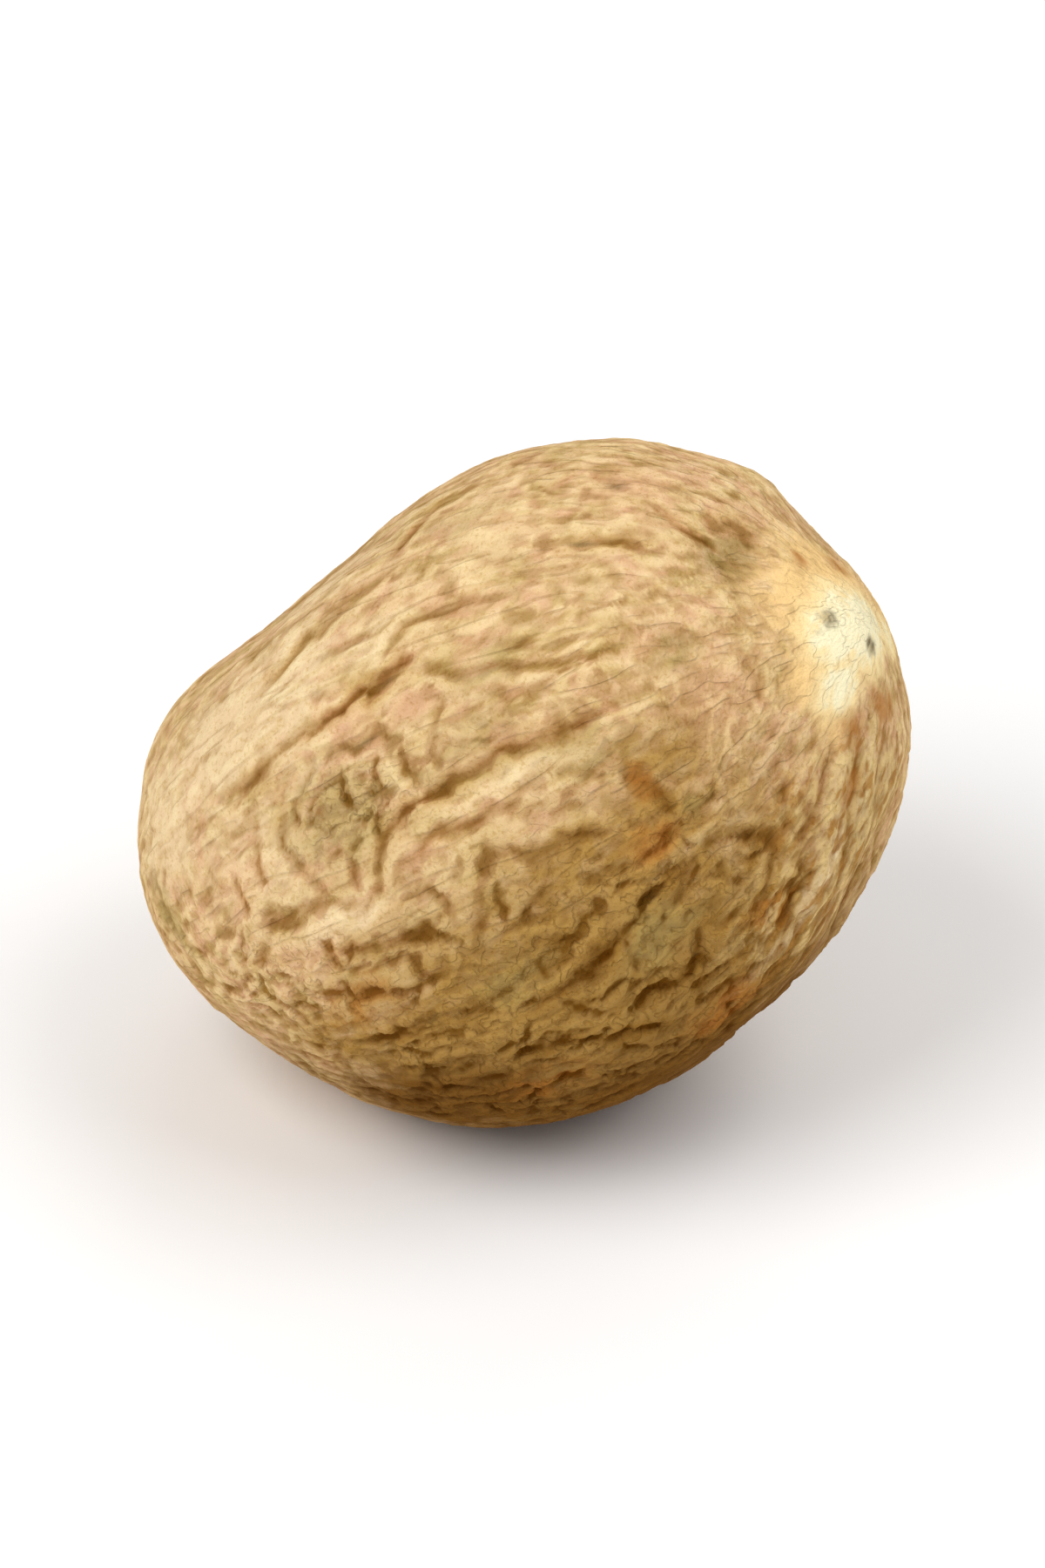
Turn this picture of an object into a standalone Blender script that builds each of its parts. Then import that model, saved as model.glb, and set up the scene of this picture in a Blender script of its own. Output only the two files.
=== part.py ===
"""A whole dried nutmeg that lies on its side, with its pale scar end raised. Metres, +Z up.

Places on the seed are given by station and turn, both in degrees. Station runs along the seed, from 0 at
the scar to 180 at the far pole. Turn runs round it: 0 on top, 90 in front, 180 underneath, 270 behind.
The scar end points to +X and the front faces -Y.
"""

import math
import random
from typing import NamedTuple

import bmesh
import bpy
import numpy as np
from mathutils import Matrix

MM = 0.001

LENGTH = 26.0 * MM
WIDTH = 20.2 * MM
LEAN = 36.0  # degrees that the scar end is raised above the level
SPOT_DEPTH = 0.42 * MM  # how much of the underside is worn flat

GRID = 88  # quads along each side of the cube that the ball is made from
TRIANGLES = 11200  # that are left after thinning
FLAT_WITHIN = 0.012 * MM  # what thinning lifts off the worn spot, or pushes through it, is laid flat again
HALF_SIZES = np.array((LENGTH / 2, WIDTH / 2, WIDTH / 2))

GROOVE_POWER = 1.4
GROOVE_REACH = 6.0  # groove widths past which a furrow no longer counts
ROUTE_STEP = 0.15 * MM
TAPER_SHARE = 0.22  # of a furrow's length, at either end
TAPER_POWER = 0.5
LIP_OFFSET = 2.0  # the lip's crest stands this many groove widths from the groove
CALM_SPREAD = 30.0  # degrees round the rest spot in which the furrows fade
CALM_POWER = 4
NO_HEIGHT = 1e-9 * MM  # keeps a share of two heights defined where both are nothing

KERNEL_BROWN = (0.46, 0.29, 0.14, 1.0)
KERNEL_ROUGHNESS = 0.8


class Swell(NamedTuple):
    """A soft rise of the form, or with a negative height a hollow."""

    station: float
    turn: float
    spread: float
    height: float


class Furrow(NamedTuple):
    """A groove along a route of stations and turns, or with a negative depth a welt.

    A positive lip stands on its side of greater turn.
    """

    route: tuple
    width: float
    depth: float
    lip: float = 0.0


SWELLS = {
    "scar mound": Swell(6, 60, 10, 0.34 * MM),
    "dent beside the scar": Swell(28, 11, 7, -0.30 * MM),
    "slack under the scar": Swell(30, 96, 12, -0.14 * MM),
    "slack behind the scar": Swell(30, 285, 16, -0.34 * MM),
    "slack below the scar": Swell(28, 212, 14, -0.22 * MM),
    "corner above the scar": Swell(34, -46, 9, 0.36 * MM),
    "hollow under the neck": Swell(45, 158, 15, -0.60 * MM),
    "crown": Swell(56, -31, 27, 0.50 * MM),
    "flat of the crown": Swell(104, -18, 24, -1.05 * MM),
    "far shoulder": Swell(131, -4, 17, 0.52 * MM),
    "far end": Swell(150, 44, 22, 0.34 * MM),
    "flat of the front": Swell(142, 102, 29, -0.80 * MM),
    "lower shoulder": Swell(76, 156, 20, -0.50 * MM),
    "fold under the brow": Swell(90, 47, 11, -0.20 * MM),
    "cheek": Swell(68, 70, 12, 0.14 * MM),
    "back shoulder": Swell(62, 258, 24, 0.30 * MM),
    "back of the far end": Swell(142, 255, 24, 0.32 * MM),
    "flat of the back": Swell(100, 290, 24, -0.20 * MM),
    "belly": Swell(96, 180, 28, 0.50 * MM),
    "tuck of the far end": Swell(142, 184, 20, -0.30 * MM),
    "far pit": Swell(176, 200, 6, -0.85 * MM),
    "rim of the far pit": Swell(168, 200, 14, 0.22 * MM),
}

FURROWS = {
    "brow": Furrow(
        ((79, 29), (82, 31), (84, 32), (88, 31), (92, 32), (96, 33), (100, 33), (103, 34), (106, 36),
         (109, 36), (112, 35), (116, 34)),
        0.34 * MM, 0.44 * MM, 0.16 * MM),
    "brow notch": Furrow(((78, 29), (80, 30), (82, 31), (85, 32), (88, 32)), 0.48 * MM, 0.62 * MM),
    "end of the brow": Furrow(
        ((46, 38), (51, 39), (55, 40), (59, 38), (62, 38), (66, 37), (72, 35)),
        0.36 * MM, 0.36 * MM, 0.08 * MM),
    "brow branch": Furrow(
        ((68, 22), (74, 22), (78, 23), (81, 25), (83, 28), (84, 31)),
        0.30 * MM, 0.26 * MM),
    "under the brow": Furrow(((97, 41), (92, 39), (89, 40), (86, 40), (82, 43)), 0.36 * MM, 0.32 * MM),
    "shoulder": Furrow(
        ((70, -13), (73, -10), (76, -8), (79, -3), (81, 2), (83, 6), (86, 9), (89, 10), (93, 13),
         (97, 13), (100, 15), (103, 17), (108, 21)),
        0.34 * MM, 0.30 * MM, 0.08 * MM),
    "crown": Furrow(
        ((60, 10), (55, 11), (51, 11), (47, 12), (44, 13), (40, 16)),
        0.34 * MM, 0.38 * MM, 0.06 * MM),
    "crown pit": Furrow(((51, -12), (49, -8), (46, -4)), 0.44 * MM, 0.36 * MM),
    "temple": Furrow(
        ((44, -5), (42, -1), (40, 3), (37, 5), (34, 7), (30, 11)),
        0.34 * MM, 0.34 * MM, -0.08 * MM),
    "scar notch": Furrow(
        ((35, -7), (32, -4), (29, -3), (26, 0), (25, 4), (24, 10)),
        0.42 * MM, 0.34 * MM),
    "midline": Furrow(
        ((46, 50), (51, 51), (55, 52), (59, 53), (63, 54), (67, 54), (71, 53), (76, 54), (81, 54),
         (85, 54), (88, 56), (91, 58), (93, 61), (95, 64), (98, 65), (101, 65), (104, 63), (107, 62),
         (111, 62)),
        0.34 * MM, 0.44 * MM, 0.18 * MM),
    "below the midline": Furrow(
        ((92, 65), (89, 63), (85, 61), (81, 62), (76, 62), (71, 62), (65, 61)),
        0.30 * MM, 0.28 * MM),
    "cheek": Furrow(
        ((57, 77), (60, 75), (64, 73), (68, 72), (72, 71), (76, 70), (79, 70), (82, 72), (84, 75),
         (85, 79), (87, 84)),
        0.38 * MM, 0.40 * MM, -0.12 * MM),
    "rust furrow": Furrow(((58, 65), (56, 68), (54, 71), (53, 75), (54, 79)), 0.36 * MM, 0.26 * MM),
    "under the pale fold": Furrow(
        ((88, 80), (91, 78), (95, 76), (99, 74), (103, 73), (107, 72), (111, 73)),
        0.36 * MM, 0.32 * MM),
    "end fold": Furrow(
        ((115, 63), (118, 66), (120, 69), (121, 72), (122, 77)),
        0.32 * MM, 0.34 * MM, 0.10 * MM),
    "jaw": Furrow(
        ((49, 94), (53, 93), (58, 92), (63, 93), (67, 94), (71, 94), (75, 96), (79, 97), (84, 98),
         (91, 97)),
        0.40 * MM, 0.48 * MM, -0.18 * MM),
    "hook": Furrow(
        ((50, 92), (47, 96), (46, 101), (47, 106), (50, 109), (54, 110)),
        0.34 * MM, 0.38 * MM),
    "chin": Furrow(
        ((55, 102), (60, 106), (64, 110), (68, 112), (73, 111), (78, 110)),
        0.36 * MM, 0.34 * MM),
    "keel": Furrow(
        ((70, 124), (76, 119), (82, 114), (86, 110), (90, 108), (94, 107), (100, 106)),
        0.40 * MM, 0.38 * MM, 0.08 * MM),
    "lower cell": Furrow(
        ((87, 92), (91, 92), (96, 94), (100, 92), (104, 91), (108, 92), (113, 93), (120, 91)),
        0.38 * MM, 0.36 * MM),
    "upper cell": Furrow(
        ((88, 84), (93, 85), (97, 82), (101, 85), (106, 82), (111, 80), (115, 82)),
        0.34 * MM, 0.30 * MM),
    "cross link": Furrow(
        ((103, 62), (105, 57), (106, 52), (106, 48), (105, 44), (107, 39)),
        0.30 * MM, 0.26 * MM),
    "near ray": Furrow(
        ((22, 98), (28, 104), (35, 107), (41, 111), (47, 118), (54, 125), (62, 131)),
        0.34 * MM, 0.28 * MM),
    "middle ray": Furrow(
        ((18, 118), (25, 121), (33, 126), (41, 133), (48, 139), (56, 144), (66, 146)),
        0.32 * MM, 0.24 * MM),
    "far ray": Furrow(
        ((17, 140), (26, 141), (36, 147), (46, 152), (58, 154), (72, 152)),
        0.32 * MM, 0.22 * MM),
    "seam": Furrow(
        ((14, 214), (30, 205), (52, 208), (76, 203), (100, 207), (126, 202), (150, 206), (170, 202)),
        0.55 * MM, 0.34 * MM, 0.10 * MM),
    "fold below the midline": Furrow(
        ((50, 56), (55, 57), (59, 57), (63, 58), (68, 58), (73, 58), (78, 58), (83, 58), (87, 59),
         (90, 62)),
        0.42 * MM, -0.20 * MM),
    "second fold": Furrow(
        ((91, 68), (88, 66), (85, 65), (81, 65), (76, 66), (70, 67)),
        0.36 * MM, -0.16 * MM),
    "pale fold": Furrow(
        ((116, 70), (113, 68), (110, 66), (106, 66), (102, 68), (97, 69), (92, 71)),
        0.46 * MM, -0.20 * MM),
    "fold over the jaw": Furrow(
        ((44, 91), (48, 89), (51, 88), (55, 87), (59, 87), (63, 88), (67, 89), (73, 91)),
        0.34 * MM, -0.20 * MM),
    "pale ray": Furrow(
        ((26, 109), (30, 113), (36, 117), (41, 121), (46, 127), (51, 131), (56, 136), (64, 139)),
        0.40 * MM, -0.20 * MM),
    "second pale ray": Furrow(
        ((20, 128), (27, 132), (35, 138), (43, 144), (52, 148), (62, 149)),
        0.36 * MM, -0.14 * MM),
}

# Where the skin is smoother, the net of wrinkles is fainter: height is the share that is taken away.
CALM_PATCHES = {
    "scar": Swell(5, 60, 18, 1.0),
    "pale far end": Swell(120, 14, 20, 0.75),
    "plain under the crown": Swell(60, 25, 12, 0.5),
    "plain before the scar": Swell(42, 56, 12, 0.5),
}

# The side that lies away from the named furrows gets like ones by a rule.
BACK_SEED = 11
BACK_LANES = 13
BACK_TURNS = (156.0, 330.0)
BACK_STARTS = (22.0, 62.0)
BACK_LENGTHS = (38.0, 78.0)
BACK_SWINGS = (3.0, 7.0)
BACK_WIDTHS = (0.30 * MM, 0.44 * MM)
BACK_DEPTHS = (0.22 * MM, 0.42 * MM)
BACK_LAST_STATION = 150.0
BACK_STEP = 7.0
BACK_WAVE = 9.0  # degrees of station in which the sway turns by one radian
BACK_JITTER = 1.5
BACK_PAUSES = (4.0, 12.0)
BACK_DRIFT = 3.0

# Short wrinkles run into the pit of the far pole.
PLEAT_SEED = 5
PLEATS = 13
PLEAT_CENTRE = (176.0, 200.0)
PLEAT_REACH = (14.0, 32.0)
PLEAT_SHARES = (0.12, 0.4, 0.7, 1.0)  # of its reach, where a pleat's route has a point
PLEAT_SPACING = 0.2  # share of the even spacing by which a pleat strays
PLEAT_SWAY = 0.12
PLEAT_WIDTH = 0.28 * MM
PLEAT_DEPTH = 0.30 * MM

# A net of short wrinkles fills what is left between the furrows.
NET_SEED = 3
NET_STARTS = 1500
NET_GAP = 0.85 * MM  # a wrinkle starts no nearer than this to another cut
NET_JOIN = 0.25 * MM  # and ends where it comes this near to one
NET_LENGTHS = (0.8 * MM, 2.6 * MM)  # to either side of its start
NET_CROSSING = 0.3  # share that runs round the seed instead of along it
NET_SLANT = 0.35
NET_WANDER = 0.16
NET_RECALL = 0.88
NET_WIDTH = 0.24 * MM
NET_DEPTHS = (0.09 * MM, 0.20 * MM)


def direction(station, turn):
    """The point of the unit ball at a station and a turn."""
    along, across = math.radians(station), math.radians(turn)
    ring = math.sin(along)
    return np.array((math.cos(along), -ring * math.sin(across), ring * math.cos(across)))


def turns_of(directions):
    """The turn, in degrees, of each point of the unit ball."""
    return np.degrees(np.arctan2(-directions[:, 1], directions[:, 2]))


def smooth_form(directions):
    """Points and normals of the seed without its furrows, for points of the unit ball."""
    normals = directions / HALF_SIZES
    normals /= np.linalg.norm(normals, axis=1)[:, None]
    rise = np.zeros(len(directions))
    for swell in SWELLS.values():
        away = np.degrees(np.arccos(np.clip(directions @ direction(swell.station, swell.turn), -1.0, 1.0)))
        rise += swell.height * np.exp(-((away / swell.spread) ** 2))
    return directions * HALF_SIZES + normals * rise[:, None], normals


def smooth_route(route):
    """A curve through the route's own points, as points of the unit ball a ROUTE_STEP apart."""
    knots = np.array([direction(*place) for place in route])
    knots = np.vstack((2 * knots[0] - knots[1], knots, 2 * knots[-1] - knots[-2]))
    found = []
    for before, start, end, after in zip(knots, knots[1:], knots[2:], knots[3:]):
        steps = max(2, round(float(np.linalg.norm(end - start)) * LENGTH / 2 / ROUTE_STEP))
        for share in np.arange(steps) / steps:
            found.append(
                0.5 * (2 * start + (end - before) * share
                       + (2 * before - 5 * start + 4 * end - after) * share**2
                       + (3 * start - before - 3 * end + after) * share**3))
    found.append(knots[-2])
    curve = np.array(found)
    return curve / np.linalg.norm(curve, axis=1)[:, None]


def cut(furrow, curve, points, turns, groove, lip):
    """Deepens the groove and raises the lip or the welt where a furrow's curve passes the form's points."""
    line = smooth_form(curve)[0]
    reach = GROOVE_REACH * furrow.width
    near = np.flatnonzero(
        np.all((points > line.min(axis=0) - reach) & (points < line.max(axis=0) + reach), axis=1))
    gaps = np.linalg.norm(points[near, None, :] - line[None, :, :], axis=2)
    nearest = gaps.argmin(axis=1)
    gap = gaps.min(axis=1)
    share = nearest / (len(line) - 1)
    taper = np.clip(np.minimum(share, 1.0 - share) / TAPER_SHARE, 0.0, 1.0) ** TAPER_POWER
    depth = furrow.depth * taper * np.exp(-((gap / furrow.width) ** GROOVE_POWER))
    groove[near] = np.maximum(groove[near], depth)
    lip[near] = np.maximum(lip[near], -depth)
    side = (turns[near] - turns_of(curve)[nearest] + 180.0) % 360.0 - 180.0
    crest = np.exp(-((gap / furrow.width - LIP_OFFSET) ** 2)) * (side * furrow.lip > 0)
    lip[near] = np.maximum(lip[near], abs(furrow.lip) * taper * crest)


def back_furrows():
    """Wandering lengthwise furrows for the side that the named ones leave free."""
    draw = random.Random(BACK_SEED)
    furrows = []
    for lane in range(BACK_LANES):
        turn = BACK_TURNS[0] + (BACK_TURNS[1] - BACK_TURNS[0]) * (lane + 0.5) / BACK_LANES
        start = draw.uniform(*BACK_STARTS)
        swing, phase = draw.uniform(*BACK_SWINGS), draw.uniform(0.0, math.tau)
        while start < BACK_LAST_STATION:
            end = min(start + draw.uniform(*BACK_LENGTHS), BACK_LAST_STATION + BACK_STEP)
            stations = np.arange(start, end, BACK_STEP)
            if len(stations) > 2:
                turns = [turn + swing * math.sin(phase + station / BACK_WAVE) for station in stations]
                turns = [middle + draw.uniform(-BACK_JITTER, BACK_JITTER) for middle in turns]
                route = tuple(zip(stations, turns))
                furrows.append(Furrow(route, draw.uniform(*BACK_WIDTHS), draw.uniform(*BACK_DEPTHS)))
            start = end + draw.uniform(*BACK_PAUSES)
            turn += draw.uniform(-BACK_DRIFT, BACK_DRIFT)
    return furrows


def pleat_furrows():
    """Short wrinkles that spread from the pit of the far pole."""
    draw = random.Random(PLEAT_SEED)
    centre = direction(*PLEAT_CENTRE)
    side = np.cross(centre, (0.0, 0.0, 1.0))
    side /= np.linalg.norm(side)
    other = np.cross(centre, side)
    furrows = []
    for number in range(PLEATS):
        bearing = math.tau * (number + draw.uniform(-PLEAT_SPACING, PLEAT_SPACING)) / PLEATS
        reach = draw.uniform(*PLEAT_REACH)
        route = []
        for share in PLEAT_SHARES:
            away = math.radians(reach * share)
            swayed = bearing + draw.uniform(-PLEAT_SWAY, PLEAT_SWAY)
            spot = (math.cos(away) * centre
                    + math.sin(away) * (math.cos(swayed) * side + math.sin(swayed) * other))
            route.append((math.degrees(math.acos(spot[0])), math.degrees(math.atan2(-spot[1], spot[2]))))
        furrows.append(Furrow(tuple(route), PLEAT_WIDTH, PLEAT_DEPTH))
    return furrows


def grown(start, heading, length, laid, draw):
    """One arm of a wrinkle, from its start until it is long enough or meets another cut."""
    spots = [start]
    bend = 0.0
    for _ in range(round(length / ROUTE_STEP)):
        spot = spots[-1]
        along = spot * spot[0] - (1.0, 0.0, 0.0)
        along /= np.linalg.norm(along)
        bend = NET_RECALL * bend + draw.gauss(0.0, NET_WANDER)
        way = math.cos(heading + bend) * along + math.sin(heading + bend) * np.cross(spot, along)
        spot = spot + way * ROUTE_STEP / (WIDTH / 2)
        spot /= np.linalg.norm(spot)
        spots.append(spot)
        if np.linalg.norm(laid - spot * HALF_SIZES, axis=1).min() < NET_JOIN:
            break
    return spots


def net_wrinkles(curves):
    """Pairs of a furrow without a route and its curve, grown between the curves that are already laid."""
    draw = random.Random(NET_SEED)
    laid = np.vstack(curves) * HALF_SIZES
    wrinkles = []
    for _ in range(NET_STARTS):
        start = np.array([draw.gauss(0.0, 1.0) for _ in range(3)])
        start /= np.linalg.norm(start)
        crossing = draw.random() < NET_CROSSING
        heading = draw.uniform(-NET_SLANT, NET_SLANT) + (math.pi / 2 if crossing else 0.0)
        lengths = draw.uniform(*NET_LENGTHS), draw.uniform(*NET_LENGTHS)
        depth = draw.uniform(*NET_DEPTHS)
        if np.linalg.norm(laid - start * HALF_SIZES, axis=1).min() < NET_GAP:
            continue
        for patch in CALM_PATCHES.values():
            away = math.degrees(math.acos(min(1.0, start @ direction(patch.station, patch.turn))))
            depth *= 1.0 - patch.height * math.exp(-((away / patch.spread) ** 2))
        back = grown(start, heading + math.pi, lengths[0], laid, draw)
        forth = grown(start, heading, lengths[1], laid, draw)
        curve = np.array(back[:0:-1] + forth)
        laid = np.vstack((laid, curve * HALF_SIZES))
        wrinkles.append((Furrow((), NET_WIDTH, depth), curve))
    return wrinkles


def leaned(points):
    """Points turned from the seed's own frame into the world's, with the scar end raised."""
    turn = np.array(Matrix.Rotation(-math.radians(LEAN), 3, "Y"))
    return points @ turn.T


def seed_shape(directions):
    """The finished seed's points: furrowed, leaned, worn flat underneath and centred over the floor."""
    points, normals = smooth_form(directions)
    low = leaned(points)[:, 2].argmin()
    floor = leaned(points)[low, 2] + SPOT_DEPTH
    away = np.degrees(np.arccos(np.clip(directions @ directions[low], -1.0, 1.0)))
    calm = 1.0 - np.exp(-((away / CALM_SPREAD) ** CALM_POWER))
    turns = turns_of(directions)
    groove = np.zeros(len(points))
    lip = np.zeros(len(points))
    furrows = [*FURROWS.values(), *back_furrows(), *pleat_furrows()]
    pairs = [(furrow, smooth_route(furrow.route)) for furrow in furrows]
    pairs += net_wrinkles([curve for _, curve in pairs])
    for furrow, curve in pairs:
        cut(furrow, curve, points, turns, groove, lip)
    relief = lip * lip / (groove + lip + NO_HEIGHT) - groove
    world = leaned(points + normals * (relief * calm)[:, None])
    world[:, 2] = np.maximum(world[:, 2] - floor, 0.0)
    middle = (world.max(axis=0) + world.min(axis=0)) / 2
    return world - (middle[0], middle[1], 0.0)


def even_ball():
    """A ball of near-even quads: a cube cut into a grid and drawn out onto the unit sphere."""
    ball = bmesh.new()
    bmesh.ops.create_cube(ball, size=2.0)
    bmesh.ops.subdivide_edges(ball, edges=ball.edges, cuts=GRID - 1, use_grid_fill=True)
    for vert in ball.verts:
        for axis in range(3):
            vert.co[axis] = math.tan(vert.co[axis] * math.pi / 4)
        vert.co.normalize()
    return ball


def kernel_material():
    """The dry brown of the seed."""
    material = bpy.data.materials.new("kernel brown")
    material.use_nodes = True
    shader = material.node_tree.nodes["Principled BSDF"]
    shader.inputs["Base Color"].default_value = KERNEL_BROWN
    shader.inputs["Roughness"].default_value = KERNEL_ROUGHNESS
    shader.inputs["Metallic"].default_value = 0.0
    return material


def build_nutmeg(collection):
    """Adds the seed: one solid, thinned to the triangles that its furrows need."""
    ball = even_ball()
    shape = seed_shape(np.array([vert.co[:] for vert in ball.verts]))
    for vert, place in zip(ball.verts, shape):
        vert.co = place
    bmesh.ops.recalc_face_normals(ball, faces=ball.faces)
    mesh = bpy.data.meshes.new("nutmeg")
    ball.to_mesh(mesh)
    ball.free()
    mesh.shade_smooth()
    nutmeg = bpy.data.objects.new("nutmeg", mesh)
    mesh.materials.append(kernel_material())
    collection.objects.link(nutmeg)
    thin = nutmeg.modifiers.new("thin", "DECIMATE")
    thin.decimate_type = "COLLAPSE"
    thin.ratio = TRIANGLES / (12 * GRID**2)
    thinned = bpy.data.meshes.new_from_object(nutmeg.evaluated_get(bpy.context.evaluated_depsgraph_get()))
    nutmeg.modifiers.remove(thin)
    for vert in thinned.vertices:
        if vert.co.z < FLAT_WITHIN:
            vert.co.z = 0.0
    nutmeg.data = thinned
    return nutmeg


def main():
    """Builds the nutmeg in an empty scene."""
    for left_over in list(bpy.data.objects):
        bpy.data.objects.remove(left_over, do_unlink=True)
    collection = bpy.data.collections.new("Whole nutmeg")
    bpy.context.scene.collection.children.link(collection)
    build_nutmeg(collection)


main()
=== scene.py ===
"""The looks of one whole dried nutmeg that lies on its side, with its pale scar end raised. Metres, +Z up.

Places on the seed are given by station and turn, both in degrees. Station runs along the seed, from 0 at
the scar to 180 at the far pole. Turn runs round it: 0 on top, 90 in front, 180 underneath, 270 behind.
"""

import logging
import math
import random
from dataclasses import dataclass, fields
from enum import Enum
from functools import partial, reduce

import bpy
import numpy as np
from mathutils import Matrix, Vector


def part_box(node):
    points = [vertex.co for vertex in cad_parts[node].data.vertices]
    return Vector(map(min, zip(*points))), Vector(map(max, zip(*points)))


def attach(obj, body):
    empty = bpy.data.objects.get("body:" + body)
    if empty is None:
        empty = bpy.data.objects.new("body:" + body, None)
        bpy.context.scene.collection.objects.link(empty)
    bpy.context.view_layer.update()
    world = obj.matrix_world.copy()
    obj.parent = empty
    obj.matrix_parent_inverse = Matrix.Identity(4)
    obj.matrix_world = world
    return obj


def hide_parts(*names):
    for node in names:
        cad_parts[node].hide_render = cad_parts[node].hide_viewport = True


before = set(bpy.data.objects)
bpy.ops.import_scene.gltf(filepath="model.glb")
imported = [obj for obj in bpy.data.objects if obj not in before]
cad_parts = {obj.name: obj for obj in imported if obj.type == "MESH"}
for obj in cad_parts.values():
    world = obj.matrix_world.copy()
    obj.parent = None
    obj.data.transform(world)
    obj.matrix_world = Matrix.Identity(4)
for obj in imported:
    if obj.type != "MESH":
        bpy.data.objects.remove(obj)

log = logging.getLogger("nutmeg")

MM = 0.001
PER_MM = 1000.0
MIDDLE = 0.5  # of a noise that runs from 0 to 1

Socket = bpy.types.NodeSocket
Value = float | int | str | tuple | Socket | bpy.types.Material
Inputs = dict[str | int, Value]  # values by the input's name or place
Pair = tuple[float, float]
Noise = tuple[float, float, float]  # a noise's detail, its roughness and which of its many patterns is taken
Span = tuple[float, ...]  # where a ramp starts and ends, and what it gives at either

SOCKETS = {
    float: "NodeSocketFloat", int: "NodeSocketInt", tuple: "NodeSocketVector",
    bpy.types.Mesh: "NodeSocketGeometry", bpy.types.Material: "NodeSocketMaterial",
}


class Tree(Enum):
    """The kinds of node tree."""

    GEOMETRY = "Geometry"
    SHADER = "Shader"


class Mark(Enum):
    """The attributes that the skin's mesh carries for its relief and its finish."""

    BALL = "ball"  # the point's place on the unit ball
    OUTWARD = "outward"  # the way out of the form
    WARP = "warp"  # how far what is laid on the form strays, in millimetres
    CLOUD = "cloud"  # three soft noises
    FIBRE = "fibre"  # a place that is drawn out along the seed, in millimetres
    MOTTLE = "mottle"  # three finer noises
    STREAK = "streak"  # three noises that are drawn out along the seed
    CALM = "calm"  # the share of its relief that the point keeps
    RUGGED = "rugged"  # how strong the net of wrinkles is
    RAYS = "rays"  # how strong the long fibres are
    FURROW = "furrow"
    # how much darker brown the skin is made round each furrow
    SOIL = "soil"
    HOLLOW = "hollow"  # how far the point lies under its surroundings, in millimetres
    BASIN = "basin"  # the same over a wider reach
    SCAR = "scar"
    HALO = "halo"
    PIT = "pit"


VECTORS = (Mark.BALL, Mark.OUTWARD, Mark.WARP, Mark.CLOUD, Mark.FIBRE, Mark.MOTTLE, Mark.STREAK)


class Tone(Enum):
    """Colours that lie on the skin in patches, each value the name of its attribute. They are the skin's own
    colours, except the shade and under tones, which are painted shade towards the bottom and underneath.
    """

    # painted shade: a darker, browner colour over the lower half and the underside
    SHADE = "shade"
    # painted shade: the deepest dark, low on the front and underneath
    UNDER = "under"
    GREY = "grey"
    CREAM = "cream"
    STRAW = "straw"
    OLIVE = "olive"
    WARM = "warm"
    RUST = "rust"
    ROSE = "rose"
    SPOT = "spot"


@dataclass(frozen=True)
class Tint:
    """A colour as it reads on a screen, from 0 to 255."""

    red: float
    green: float
    blue: float

    def linear(self) -> tuple[float, float, float, float]:
        """The colour as the renderer wants it."""
        shares = [channel / 255.0 for channel in (self.red, self.green, self.blue)]
        return (*(s / 12.92 if s <= 0.04045 else ((s + 0.055) / 1.055) ** 2.4 for s in shares), 1.0)


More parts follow.
